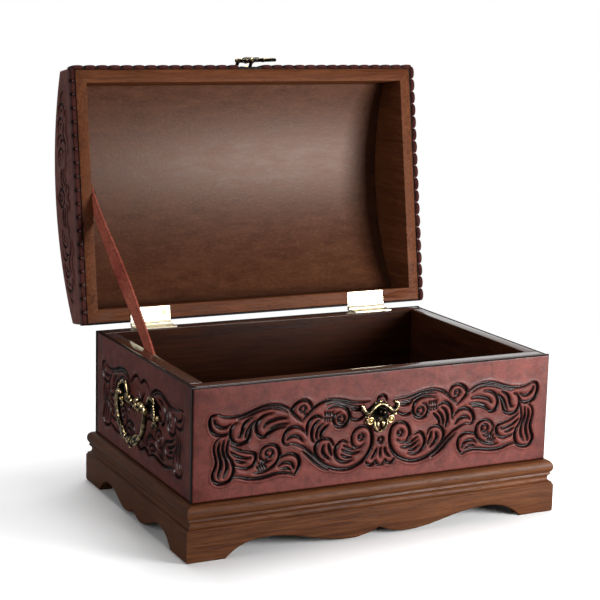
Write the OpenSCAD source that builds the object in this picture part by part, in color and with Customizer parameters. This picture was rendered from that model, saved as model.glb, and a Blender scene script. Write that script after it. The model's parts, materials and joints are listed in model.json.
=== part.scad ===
// Leather-covered jewelry chest: domed lid on two brass hinges, drop handles, hasp and catch, walnut base.
// Frame: +X right, +Y to the back, +Z up. The origin is on the table, under the middle of the case.
// The lid is drawn closed, in the case's own frame, and turned open about the hinge axis.

/* [Case] */
// Outer width of the leather-covered case
case_w = 260; // [230:1:290]
// Outer depth of the leather-covered case
case_d = 176; // [150:1:200]
// Height of the case walls above the base
case_h = 73; // [66:1:95]
// Thickness of the case's boards
board_t = 9; // [8:0.5:11]
// Thickness of the tooled leather on the case
leather_t = 3; // [2:0.5:4]
// Thickness of the bottom panel
bottom_t = 4; // [3:0.5:6]

/* [Base] */
// Height of the base, feet included
base_h = 36; // [34:1:42]
// How far the apron stands out past the case
base_out = 4.8; // [4.4:0.2:6]
// Thickness of the apron
apron_t = 10; // [8:0.5:11]

/* [Lid] */
// Width of the lid's wooden frame
lid_w = 267.6; // [264:0.2:290]
// Depth of the lid's wooden frame
lid_d = 176.7; // [170:0.1:200]
// Thickness of the lid's end boards
lid_end_t = 8; // [7:0.5:10]
// Height of the leather crown above the rim
lid_crown = 51.5; // [46:0.5:56]
// Radius of the leather dome
dome_r = 176; // [170:1:200]
// Thickness of the bent top panel
ply_t = 3.2; // [2.5:0.1:4]
// Thickness of the leather on the lid's top, front and back
lid_leather_t = 1.8; // [1.4:0.1:1.8]
// Thickness of the leather on the lid's ends
lid_end_leather_t = 2.7; // [2:0.1:3]
// Angle of the lid when it hangs open on its strap
lid_open = 98.94; // [90:0.01:105]

/* [Hardware] */
// Length of each hinge
hinge_len = 30; // [24:1:34]
// Distance of each hinge's middle from the middle of the chest
hinge_x = 87; // [70:1:95]
// Height of the handle pivots above the base
handle_rise = 46; // [42:1:50]
// Distance between the two posts of a handle
handle_span = 42; // [38:1:46]
// Height of the catch's knob above the base
catch_rise = 46.4; // [45:0.2:48]
// Width of the lid strap
strap_w = 10; // [8:0.5:12]

/* [Hidden] */
$fn = 48;
air = 0.3;
wood = "saddlebrown";
wood_pale = "sienna";
hide = "brown";
hide_dark = "#4a2424";
brass = "gold";
brass_old = "darkgoldenrod";

// Case
case_top = base_h + case_h;
wall_x = case_w / 2 - leather_t;
wall_y = case_d / 2 - leather_t;
inner_x = wall_x - board_t;
inner_y = wall_y - board_t;
ledge = 5;

// Hinges: the barrel stands behind the back edge, half way up the gap between the two rims
gap = 1.6;
leaf_t = (gap - air) / 2;
barrel_r = 1.8;
pin_r = 0.9;
pin_play = 0.05;
axis_y = case_d / 2 + 3.2;
axis_z = case_top + gap / 2;
knuckle_gap = 0.3;
knuckle_len = (hinge_len - 2 * knuckle_gap) / 3;
leaf_reach = 12.2;
screw_head_r = 1.9;
screw_r = 0.9;
screw_len = 7;
screw_out = 10;
screw_in = 7.7;

// Lid, closed: its frame lies between lid_front and lid_back, above lid_z
lid_z = case_top + gap;
lid_back = axis_y - 3.5;
lid_front = lid_back - lid_d;
lid_mid = (lid_back + lid_front) / 2;
lid_x = lid_w / 2;
lid_back_leather_t = 1.5;
rail_t = 9;
dome_z = lid_z + lid_crown - dome_r;
ply_r = dome_r - lid_leather_t;
vault_r = ply_r - ply_t;
lining_t = 0.6;
lining_clear = 0.4;

// Scalloped edge along the lid's foot
lobe_out = 2.8;
lobe_h = 8;
lobe_pitch = 9.4;

// Strap: it is tacked flat to the lid's left end board and to the case's left wall
strap_t = 2.4;
strap_lid = [lid_x - lid_end_t, 112.6, 201.5];
strap_case = [inner_x, 9.5, 100.5];
strap_tail = 5;
strap_rise = 18;
tack_head_r = 2.6;
tack_r = 0.8;
tack_len = 5;
tack_play = 0.2;

// Drop handles, drawn on a face that looks along -Y and then turned to the sides
handle_z = base_h + handle_rise;
post_x = handle_span / 2;
plate_t = 1.4;
post_r = 2;
post_out = 6.6;
bail_r = 1.5;
bail_half = post_x + 3.9;
bail_bend = 1.6;
bail_drop = 28;
bail_pin_r = 1.1;
drop_r = 3.8;
nail_r = 0.8;
nail_head_r = 1.7;
nail_len = 6;

// Catch and hasp
catch_z = base_h + catch_rise;
knob_r = 3.2;
knob_out = 6.4;
catch_t = 1.2;
hasp_hinge_h = 8;
hasp_axis_y = lid_front - lid_leather_t - 5.2;
hasp_axis_z = lid_z + hasp_hinge_h;
hasp_barrel_r = 1.7;
hasp_pin_r = 0.8;
hasp_t = 1.5;
hasp_len = 44.5;
hasp_lean = 7;
hasp_half = 7;
slot_half = 4;
slot_len = 13;

// ---- shared shapes ----

// Height of the apron's lower edge at distance x from its middle: a cusp, a lobe, a long rise and a round arch
function apron_z(x, lobe, peak, foot) =
  let(cusp_z = 6.2, lobe_z = 1.4, arch_z = 10.3, a = abs(x))
  a < lobe ? lobe_z + (cusp_z - lobe_z) * pow(1 - a / lobe, 1.8)
  : a < peak ? lobe_z + (arch_z - lobe_z) * (1 - cos(180 * (a - lobe) / (peak - lobe))) / 2
  : a < foot ? arch_z * (1 - pow((a - peak) / (foot - peak), 2.6))
  : 0;

// What is sawn out of an apron: open below, from foot to foot
module apron_cut(lobe, peak, foot) {
  steps = 60;
  rotate([90, 0, 0])
    linear_extrude(height = 2 * case_d, center = true)
      polygon(concat(
        [for (i = [0 : steps]) let(x = foot * (2 * i / steps - 1)) [x, apron_z(x, lobe, peak, foot)]],
        [[foot, -1], [-foot, -1]]
      ));
}

// Section of a base rail: distance out from the case's face, and height
function rail_section() =
  let(bead_z = base_h - 5, bead_h = 4.9, bead_out = 4.4, cove_r = 2.6, cove_out = 4.2, cove_z = base_h - 12.6)
  concat(
    [for (a = [0 : 14 : 140]) [bead_out * sin(a), bead_z + bead_h * cos(a)]],
    [for (a = [110 : 20 : 250]) [cove_out + cove_r * cos(a), cove_z + cove_r * sin(a)]],
    [[base_out - 0.8, cove_z - 2.6], [base_out - 0.8, cove_z - 3.6], [base_out, cove_z - 4.4], [base_out, 0]],
    [[base_out - apron_t, 0], [base_out - apron_t, cove_z]],
    [[-leather_t - board_t - ledge, cove_z], [-leather_t - board_t - ledge, base_h - 0.1], [0, base_h - 0.1]]
  );

// One mitred rail along the face that lies at -depth, for a side of the given length
module base_rail(length, depth, lobe, peak, foot) {
  color(wood)
    difference() {
      intersection() {
        rotate([90, 0, 90])
          linear_extrude(height = length + 4 * base_out, center = true)
            polygon([for (p = rail_section()) [-depth - p[0], p[1]]]);
        linear_extrude(height = 2 * base_h, center = true)
          polygon([
            [-length / 2 - base_out, -depth - base_out], [length / 2 + base_out, -depth - base_out],
            [length / 2 - 30, -depth + 30], [-length / 2 + 30, -depth + 30]
          ]);
      }
      apron_cut(lobe, peak, foot);
    }
}

// A block from its low corner to its high corner
module block(low, high) {
  translate(low) cube(high - low);
}

// Its children as drawn (1) or mirrored left to right (-1)
module mirrored(s) {
  if (s < 0) mirror([1, 0, 0]) children();
  else children();
}

// Moves a shape that is drawn on the closed lid to where the open lid is
module on_lid() {
  translate([0, axis_y, axis_z])
    rotate([-lid_open, 0, 0])
      translate([0, -axis_y, -axis_z])
        children();
}

// The space under a dome of radius r, between two ends and from the rim up
module under_dome(r, x0, x1, y0, y1) {
  intersection() {
    translate([x0, lid_mid, dome_z]) rotate([0, 90, 0]) cylinder(h = x1 - x0, r = r, $fn = 240);
    block([x0, y0, lid_z], [x1, y1, lid_z + 2 * lid_crown]);
  }
}

// Places its children at both ends of every hinge's row of screws: on the case (side -1) or the lid (side 1)
module at_hinge_screws(side) {
  for (s = [-1, 1])
    for (x = [-screw_out, screw_out])
      translate([s * hinge_x + x, axis_y - screw_in, side < 0 ? case_top + leaf_t : lid_z - leaf_t])
        rotate([side < 0 ? 180 : 0, 0, 0])
          children();
}

// A countersunk screw, head face at the origin, shank up
module screw_shape() {
  cylinder(h = leaf_t, r1 = screw_head_r, r2 = screw_r);
  cylinder(h = screw_len, r = screw_r);
}

// A leaf on top of the case's back wall, or under the closed lid's back rail
module hinge_leaf(side, x) {
  plate_z = side < 0 ? case_top : lid_z - leaf_t;
  starts = side < 0 ? [0, 2 * (knuckle_len + knuckle_gap)] : [knuckle_len + knuckle_gap];
  color(brass)
    difference() {
      union() {
        block([x - hinge_len / 2, axis_y - leaf_reach, plate_z],
              [x + hinge_len / 2, axis_y - barrel_r - 0.3, plate_z + leaf_t]);
        for (s = starts) {
          translate([x - hinge_len / 2 + s, axis_y, axis_z]) rotate([0, 90, 0])
            cylinder(h = knuckle_len, r = barrel_r);
          block([x - hinge_len / 2 + s, axis_y - barrel_r - 0.4, plate_z],
                [x - hinge_len / 2 + s + knuckle_len, axis_y - 0.6, plate_z + leaf_t]);
        }
      }
      translate([x - hinge_len, axis_y, axis_z]) rotate([0, 90, 0]) cylinder(h = 2 * hinge_len, r = pin_r + pin_play);
      at_hinge_screws(side) screw_shape();
    }
}

module hinge_pin(x) {
  color(brass)
    translate([x - hinge_len / 2, axis_y, axis_z]) rotate([0, 90, 0]) cylinder(h = hinge_len, r = pin_r);
}

// A round-headed nail driven along +Y, the head's seat at the origin
module nail(head_r, shank_r, length) {
  rotate([-90, 0, 0]) cylinder(h = length, r = shank_r);
  intersection() {
    translate([0, head_r * 0.6, 0]) sphere(r = head_r * 1.17);
    block([-head_r, -head_r, -head_r], [head_r, 0, head_r]);
  }
}

// ---- base ----

module base_front_rail() { base_rail(case_w, case_d / 2, 20, 80, 108.5); }
module base_back_rail() { rotate([0, 0, 180]) base_rail(case_w, case_d / 2, 20, 80, 108.5); }
module base_left_rail() { rotate([0, 0, -90]) base_rail(case_d, case_w / 2, 13, 45, 66); }
module base_right_rail() { rotate([0, 0, 90]) base_rail(case_d, case_w / 2, 13, 45, 66); }

module bottom_panel() {
  color(wood_pale) block([-inner_x, -inner_y, base_h - 0.1], [inner_x, inner_y, base_h + bottom_t]);
}

// ---- case ----

// The shanks that go into the case's boards, so that every nail and screw has its own hole
module case_holes() {
  at_hinge_screws(-1) screw_shape();
  at_catch_nails() nail(nail_head_r, nail_r, nail_len);
  for (s = [-1, 1]) on_side(s) at_handle_nails() nail(nail_head_r, nail_r, nail_len);
  at_strap_case() nail(tack_head_r, tack_r, tack_len);
  knob_shape();
}

module case_wall(low, high) {
  color(wood_pale) difference() {
    block(low, high);
    case_holes();
  }
}

module case_front_wall() { case_wall([-wall_x, -wall_y, base_h - 0.1], [wall_x, -inner_y, case_top]); }
module case_back_wall() { case_wall([-wall_x, inner_y, base_h - 0.1], [wall_x, wall_y, case_top]); }
module case_left_wall() { case_wall([-wall_x, -inner_y, base_h - 0.1], [-inner_x, inner_y, case_top]); }
module case_right_wall() { case_wall([inner_x, -inner_y, base_h - 0.1], [wall_x, inner_y, case_top]); }

module case_skin(low, high) {
  color(hide) difference() {
    block(low, high);
    case_holes();
  }
}

module case_front_leather() { case_skin([-case_w / 2, -case_d / 2, base_h], [case_w / 2, -wall_y, case_top]); }
module case_back_leather() { case_skin([-case_w / 2, wall_y, base_h], [case_w / 2, case_d / 2, case_top]); }
module case_left_leather() { case_skin([-case_w / 2, -wall_y, base_h], [-wall_x, wall_y, case_top]); }
module case_right_leather() { case_skin([wall_x, -wall_y, base_h], [case_w / 2, wall_y, case_top]); }

// ---- catch ----

catch_face = -case_d / 2;
catch_nail_x = 7.4;
catch_nail_z = catch_z - 5.5;

module at_catch_nails() {
  for (s = [-1, 1]) translate([s * catch_nail_x, catch_face - catch_t, catch_nail_z]) children();
}

// A shield with two horns above, two round ears for the nails and a pointed leaf below
module catch_outline() {
  ear_r = 3;
  ear = [for (a = [60 : -15 : -150]) [catch_nail_x + ear_r * cos(a), catch_nail_z - catch_z + ear_r * sin(a)]];
  half = concat([[0, 6], [13, 6.6], [13.6, 3.6], [9, 0]], ear, [[4, -10], [0, -14]]);
  last = len(half) - 1;
  polygon(concat(half, [for (i = [last - 1 : -1 : 1]) [-half[i][0], half[i][1]]]));
}

module catch_plate() {
  color(brass_old) difference() {
    translate([0, catch_face, catch_z]) rotate([90, 0, 0]) linear_extrude(height = catch_t) catch_outline();
    at_catch_nails() nail(nail_head_r, nail_r, nail_len);
    knob_shape();
  }
}

// The staple that the hasp drops over: a stem through the plate and a domed head
module knob_shape() {
  translate([0, catch_face + 4, catch_z]) rotate([90, 0, 0]) cylinder(h = 4 + catch_t, r = 1.6);
  translate([0, catch_face - catch_t, catch_z]) rotate([90, 0, 0]) cylinder(h = knob_out - knob_r - catch_t, r = knob_r);
  intersection() {
    translate([0, catch_face - knob_out + knob_r, catch_z]) sphere(r = knob_r);
    block([-knob_r, catch_face - knob_out, catch_z - knob_r], [knob_r, catch_face - knob_out + knob_r, catch_z + knob_r]);
  }
}

module catch_knob() { color(brass_old) knob_shape(); }
module catch_nails() { color(brass_old) at_catch_nails() nail(nail_head_r, nail_r, nail_len); }

// ---- drop handles ----

// Turns a shape drawn on a face at y = 0 that looks along -Y onto the case's left (-1) or right (1) side
module on_side(s) {
  translate([s * case_w / 2, 0, handle_z]) rotate([0, 0, s * 90]) children();
}

handle_nail_x = post_x + 9;
handle_nail_z = -7.5;

module at_handle_nails() {
  for (s = [-1, 1]) translate([s * handle_nail_x, -plate_t, handle_nail_z]) children();
}

// Two arched shields with a lug and an outer ball, joined by a waisted bar with a round flower in the middle
module handle_outline() {
  for (s = [-1, 1]) {
    translate([s * (post_x + 5.5), -1]) circle(r = 8);
    translate([s * handle_nail_x, handle_nail_z]) circle(r = 5);
    translate([s * (post_x + 14), -4]) circle(r = 3.4);
  }
  translate([-post_x, -6.4]) square([2 * post_x, 5]);
  translate([0, -4.5]) circle(r = 6.5);
}

// The backplate with its two posts, each bored for the bail's pin
module handle_plate_shape() {
  color(brass_old) difference() {
    union() {
      rotate([90, 0, 0]) linear_extrude(height = plate_t) handle_outline();
      for (s = [-1, 1]) translate([s * post_x, 0, 0]) {
        rotate([90, 0, 0]) cylinder(h = post_out, r = post_r);
        translate([0, -post_out, 0]) sphere(r = post_r);
      }
    }
    translate([0, -post_out, 0]) rotate([0, 90, 0])
      cylinder(h = 2 * handle_span, r = bail_pin_r + pin_play, center = true);
    at_handle_nails() nail(nail_head_r, nail_r, nail_len);
  }
}

// A bent rod: pins through the posts, down at both sides and a long bow below with a drop in the middle
module bail_shape() {
  knee_z = -bail_bend - 4;
  bow_rise = bail_drop + knee_z;
  bow_r = (bail_half * bail_half + bow_rise * bow_rise) / (2 * bow_rise);
  bow_a = asin(bail_half / bow_r);
  color(brass_old) translate([0, -post_out, 0]) {
    for (s = [-1, 1]) mirrored(s) {
      translate([post_x - post_r - 0.6, 0, 0]) rotate([0, 90, 0]) cylinder(h = 2 * post_r + 1.6, r = bail_pin_r);
      translate([bail_half - bail_bend, 0, -bail_bend]) rotate([90, 0, 0])
        rotate_extrude(angle = 90) translate([bail_bend, 0]) circle(r = bail_r);
      translate([bail_half, 0, knee_z]) cylinder(h = -bail_bend - knee_z, r = bail_r);
      translate([bail_half, 0, knee_z]) sphere(r = bail_r + 0.4);
    }
    translate([0, 0, bow_r - bail_drop]) rotate([90, 0, 0]) rotate([0, 0, -90 - bow_a])
      rotate_extrude(angle = 2 * bow_a, $fn = 120) translate([bow_r, 0]) circle(r = bail_r);
    translate([0, 0, -bail_drop]) sphere(r = drop_r);
    translate([0, 0, -bail_drop - drop_r]) sphere(r = 1.7);
  }
}

module left_handle_plate() { on_side(-1) handle_plate_shape(); }
module right_handle_plate() { on_side(1) handle_plate_shape(); }
module left_handle_nails() { color(brass_old) on_side(-1) at_handle_nails() nail(nail_head_r, nail_r, nail_len); }
module right_handle_nails() { color(brass_old) on_side(1) at_handle_nails() nail(nail_head_r, nail_r, nail_len); }
module left_bail() { on_side(-1) bail_shape(); }
module right_bail() { on_side(1) bail_shape(); }

// ---- hinges ----

module left_hinge_case_leaf() { hinge_leaf(-1, -hinge_x); }
module right_hinge_case_leaf() { hinge_leaf(-1, hinge_x); }
module left_hinge_lid_leaf() { on_lid() hinge_leaf(1, -hinge_x); }
module right_hinge_lid_leaf() { on_lid() hinge_leaf(1, hinge_x); }
module left_hinge_pin() { hinge_pin(-hinge_x); }
module right_hinge_pin() { hinge_pin(hinge_x); }
module hinge_case_screws() { color(brass) at_hinge_screws(-1) screw_shape(); }
module hinge_lid_screws() { color(brass) on_lid() at_hinge_screws(1) screw_shape(); }

// ---- lid strap ----

// Direction of the strap's run in the YZ plane, from the case's end to the lid's
strap_angle = atan2(strap_lid[2] - strap_case[2], strap_lid[1] - strap_case[1]);

// Places its children at a strap end, +Y along the run and +Z across it, the board's face at x = 0
module at_strap_end(p) {
  translate([-p[0], p[1], p[2]]) rotate([strap_angle, 0, 0]) children();
}

module at_strap_case() { at_strap_end(strap_case) translate([strap_t, 0, 0]) rotate([0, 0, 90]) children(); }
module at_strap_lid() { at_strap_end(strap_lid) translate([strap_t + air, 0, 0]) rotate([0, 0, 90]) children(); }

// It lies flat on the case's wall up to the rim, runs straight to the lid, and ends flat beside the lid's board
module lid_strap() {
  far = norm([strap_lid[1] - strap_case[1], strap_lid[2] - strap_case[2]]);
  side = strap_case[0] - strap_lid[0] + air;
  color(hide) difference() {
    at_strap_end(strap_case) linear_extrude(height = strap_w, center = true)
      polygon([
        [0, -strap_tail], [strap_t, -strap_tail], [strap_t, strap_rise],
        [side + strap_t, far - strap_tail], [side + strap_t, far + strap_tail],
        [side, far + strap_tail], [side, far - strap_tail], [0, strap_rise]
      ]);
    at_strap_case() nail(tack_head_r, tack_r, tack_len);
    at_strap_lid() nail(tack_head_r, tack_r + tack_play, tack_len);
  }
}

module strap_case_tack() { color(brass) at_strap_case() nail(tack_head_r, tack_r, tack_len); }
module strap_lid_tack() { color(brass) at_strap_lid() translate([0, -air, 0]) nail(tack_head_r, tack_r, tack_len); }

// ---- lid ----

// The lid's frame is four mitred boards whose tops follow the vault
module lid_board(plan) {
  color(wood_pale) difference() {
    on_lid() difference() {
      intersection() {
        under_dome(vault_r, -lid_x, lid_x, lid_front, lid_back);
        translate([0, 0, lid_z - 1]) linear_extrude(height = 2 * lid_crown) polygon(plan);
      }
      at_hinge_screws(1) screw_shape();
      at_hasp_nails() nail(nail_head_r, nail_r, nail_len);
    }
    at_strap_lid() translate([0, -air, 0]) nail(tack_head_r, tack_r, tack_len);
  }
}

module lid_rail(outer, inner) {
  lid_board([[-lid_x, outer], [lid_x, outer], [lid_x - lid_end_t, inner], [-lid_x + lid_end_t, inner]]);
}

module lid_end(s) {
  lid_board([
    [s * lid_x, lid_front], [s * lid_x, lid_back],
    [s * (lid_x - lid_end_t), lid_back - rail_t], [s * (lid_x - lid_end_t), lid_front + rail_t]
  ]);
}

module lid_front_rail() { lid_rail(lid_front, lid_front + rail_t); }
module lid_back_rail() { lid_rail(lid_back, lid_back - rail_t); }
module lid_left_end() { lid_end(-1); }
module lid_right_end() { lid_end(1); }

// A bent sheet between two dome radii
module bent_sheet(outer_r, inner_r, x, y0, y1) {
  difference() {
    under_dome(outer_r, -x, x, y0, y1);
    translate([-2 * x, lid_mid, dome_z]) rotate([0, 90, 0]) cylinder(h = 4 * x, r = inner_r, $fn = 240);
  }
}

module lid_top_panel() { color(wood_pale) on_lid() bent_sheet(ply_r, vault_r, lid_x, lid_front, lid_back); }

module lid_lining() {
  color(hide_dark) on_lid()
    bent_sheet(vault_r, vault_r - lining_t, lid_x - lid_end_t - lining_clear,
               lid_front + rail_t + lining_clear, lid_back - rail_t - lining_clear);
}

module lid_top_leather() {
  color(hide_dark) on_lid()
    bent_sheet(dome_r, ply_r, lid_x, lid_front - lid_leather_t, lid_back + lid_back_leather_t);
}

module lid_front_leather() {
  color(hide_dark) on_lid() difference() {
    under_dome(ply_r, -lid_x, lid_x, lid_front - lid_leather_t, lid_front);
    at_hasp_nails() nail(nail_head_r, nail_r, nail_len);
  }
}

module lid_back_leather() {
  color(hide_dark) on_lid() under_dome(ply_r, -lid_x, lid_x, lid_back, lid_back + lid_back_leather_t);
}

module lid_end_leather(x0, x1) {
  color(hide_dark) on_lid() under_dome(dome_r, x0, x1, lid_front - lid_leather_t, lid_back + lid_back_leather_t);
}

module lid_left_leather() { lid_end_leather(-lid_x - lid_end_leather_t, -lid_x); }
module lid_right_leather() { lid_end_leather(lid_x, lid_x + lid_end_leather_t); }

// A row of round lobes along +X from the origin, standing out along -Y from y = 0
module lobes(length) {
  count = round(length / lobe_pitch);
  pitch = length / count;
  lobe_r = 5.8;
  linear_extrude(height = lobe_h) intersection() {
    union() {
      for (i = [0 : count - 1]) translate([(i + 0.5) * pitch, lobe_r - lobe_out]) circle(r = lobe_r);
    }
    translate([0, -lobe_out]) square([length, lobe_out]);
  }
}

trim_y0 = lid_front - lid_leather_t;
trim_y1 = lid_back + lid_back_leather_t;
trim_x = lid_x + lid_end_leather_t;
hasp_gap = hasp_half + 1.6;

module lid_front_trim() {
  color(hide_dark) on_lid()
    for (x = [-trim_x, hasp_gap]) translate([x, trim_y0, lid_z]) lobes(trim_x - hasp_gap);
}

module lid_left_trim() {
  color(hide_dark) on_lid() translate([-trim_x, trim_y1, lid_z]) rotate([0, 0, -90]) lobes(trim_y1 - trim_y0);
}

module lid_right_trim() {
  color(hide_dark) on_lid() translate([trim_x, trim_y0, lid_z]) rotate([0, 0, 90]) lobes(trim_y1 - trim_y0);
}

// ---- hasp ----

hasp_face = lid_front - lid_leather_t;
hasp_nail_x = 5;
hasp_nail_z = lid_z + hasp_hinge_h + 9;
hasp_knuckle = 4;

module at_hasp_nails() {
  for (s = [-1, 1]) translate([s * hasp_nail_x, hasp_face - catch_t, hasp_nail_z]) children();
}

// The plate on the lid: a rounded shield with two lugs that carry the pin
module hasp_plate() {
  color(brass_old) on_lid() difference() {
    union() {
      block([-hasp_half, hasp_face - catch_t, hasp_axis_z + 2.4], [hasp_half, hasp_face, hasp_nail_z + 1]);
      for (s = [-1, 1]) translate([s * 4, hasp_face, hasp_nail_z + 1]) rotate([90, 0, 0])
        cylinder(h = catch_t, r = 3);
      for (s = [-1, 1]) {
        block([s < 0 ? -hasp_half : hasp_knuckle + air, hasp_axis_y, hasp_axis_z - hasp_barrel_r],
              [s < 0 ? -hasp_knuckle - air : hasp_half, hasp_face, hasp_axis_z + 4.4]);
        translate([s < 0 ? -hasp_half : hasp_knuckle + air, hasp_axis_y, hasp_axis_z]) rotate([0, 90, 0])
          cylinder(h = hasp_half - hasp_knuckle - air, r = hasp_barrel_r);
      }
    }
    translate([0, hasp_axis_y, hasp_axis_z]) rotate([0, 90, 0])
      cylinder(h = 4 * hasp_half, r = hasp_pin_r + pin_play, center = true);
    at_hasp_nails() nail(nail_head_r, nail_r, nail_len);
  }
}

module hasp_pin() {
  color(brass_old) on_lid() translate([0, hasp_axis_y, hasp_axis_z]) rotate([0, 90, 0])
    cylinder(h = 2 * hasp_half, r = hasp_pin_r, center = true);
}

module hasp_nails() { color(brass_old) on_lid() at_hasp_nails() nail(nail_head_r, nail_r, nail_len); }

// The arm's outline, from the hinge down: a waisted bar and a round loop with a long slot
module hasp_outline() {
  loop_z = -hasp_len + hasp_half;
  difference() {
    union() {
      polygon([[-hasp_knuckle, 0], [hasp_knuckle, 0], [3, -10], [5, loop_z + 6], [-5, loop_z + 6], [-3, -10]]);
      translate([0, loop_z]) circle(r = hasp_half);
      translate([0, loop_z + slot_len - 2 * slot_half]) circle(r = hasp_half);
    }
    for (z = [loop_z, loop_z + slot_len - 2 * slot_half]) translate([0, z]) circle(r = slot_half);
    translate([-slot_half, loop_z]) square([2 * slot_half, slot_len - 2 * slot_half]);
  }
}

module hasp_arm() {
  color(brass_old) on_lid() translate([0, hasp_axis_y, hasp_axis_z]) difference() {
    union() {
      rotate([0, 90, 0]) cylinder(h = 2 * hasp_knuckle, r = hasp_barrel_r, center = true);
      rotate([hasp_lean, 0, 0]) rotate([90, 0, 0])
        linear_extrude(height = hasp_t, center = true) hasp_outline();
    }
    rotate([0, 90, 0]) cylinder(h = 4 * hasp_knuckle, r = hasp_pin_r + pin_play, center = true);
  }
}

base_front_rail();
base_back_rail();
base_left_rail();
base_right_rail();
bottom_panel();
case_front_wall();
case_back_wall();
case_left_wall();
case_right_wall();
case_front_leather();
case_back_leather();
case_left_leather();
case_right_leather();
catch_plate();
catch_knob();
catch_nails();
left_handle_plate();
left_handle_nails();
left_bail();
right_handle_plate();
right_handle_nails();
right_bail();
left_hinge_case_leaf();
right_hinge_case_leaf();
left_hinge_pin();
right_hinge_pin();
hinge_case_screws();
lid_strap();
strap_case_tack();
lid_front_rail();
lid_back_rail();
lid_left_end();
lid_right_end();
lid_top_panel();
lid_lining();
lid_top_leather();
lid_front_leather();
lid_back_leather();
lid_left_leather();
lid_right_leather();
lid_front_trim();
lid_left_trim();
lid_right_trim();
left_hinge_lid_leaf();
right_hinge_lid_leaf();
hinge_lid_screws();
strap_lid_tack();
hasp_plate();
hasp_pin();
hasp_nails();
hasp_arm();
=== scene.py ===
"""Looks of the leather-covered jewelry chest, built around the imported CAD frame.

Everything is in metres in the CAD's own frame: +X right, +Y to the back, +Z up.
Panel coordinates and sizes inside the functions are in millimetres, and MM turns them into metres.
The lid's pieces are drawn on the closed lid and turned open with OPEN_LID.
"""

import json
import math

import bmesh
import bpy
import numpy as np
from mathutils import Matrix, Vector


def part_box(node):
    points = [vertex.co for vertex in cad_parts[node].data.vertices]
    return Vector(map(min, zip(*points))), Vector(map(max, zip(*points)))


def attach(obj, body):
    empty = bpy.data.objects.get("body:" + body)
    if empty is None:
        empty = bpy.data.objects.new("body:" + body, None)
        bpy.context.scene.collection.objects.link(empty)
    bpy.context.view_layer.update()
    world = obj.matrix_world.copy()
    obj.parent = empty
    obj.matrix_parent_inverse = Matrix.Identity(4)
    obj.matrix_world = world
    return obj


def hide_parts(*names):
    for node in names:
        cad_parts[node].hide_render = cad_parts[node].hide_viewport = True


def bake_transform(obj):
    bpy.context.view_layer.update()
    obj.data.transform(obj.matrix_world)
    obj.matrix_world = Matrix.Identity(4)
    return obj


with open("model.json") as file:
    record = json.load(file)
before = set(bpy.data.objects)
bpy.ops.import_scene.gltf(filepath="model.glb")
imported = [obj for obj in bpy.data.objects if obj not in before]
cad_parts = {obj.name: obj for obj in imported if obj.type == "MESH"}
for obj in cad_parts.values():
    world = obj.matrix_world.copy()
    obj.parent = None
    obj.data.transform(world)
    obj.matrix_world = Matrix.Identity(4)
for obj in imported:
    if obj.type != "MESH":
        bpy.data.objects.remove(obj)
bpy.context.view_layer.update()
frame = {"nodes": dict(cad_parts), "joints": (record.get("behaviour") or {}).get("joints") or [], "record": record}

MM = 0.001
X, Y, Z = (np.array(axis, float) for axis in ((1, 0, 0), (0, 1, 0), (0, 0, 1)))


# ---- places in the CAD frame ----


def joint(name):
    return next(j for j in frame["joints"] if j["name"] == name)


def turn_about(joint_name, degrees):
    """The matrix that turns a point in metres about a joint."""
    pivot = Vector(joint(joint_name)["pos_m"])
    turn = Matrix.Rotation(math.radians(degrees), 4, Vector(joint(joint_name)["axis"]))
    return Matrix.Translation(pivot) @ turn @ Matrix.Translation(-pivot)


OPEN_LID = turn_about("lid_hinge", -joint("lid_hinge")["range_deg"][1])


def moved(points, matrix):
    """An array of points (..., 3) put through a 4x4 matrix."""
    m = np.array(matrix)
    return points @ m[:3, :3].T + m[:3, 3]


def box_mm(node, matrix=None):
    """Lowest and highest corner of a CAD node in mm, after a matrix such as the one that closes the lid."""
    points = np.array([v.co for v in frame["nodes"][node].data.vertices])
    if matrix is not None:
        points = moved(points, matrix)
    return points.min(0) / MM, points.max(0) / MM


def closed_box(node):
    return box_mm(node, OPEN_LID.inverted())


# ---- materials ----


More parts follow.
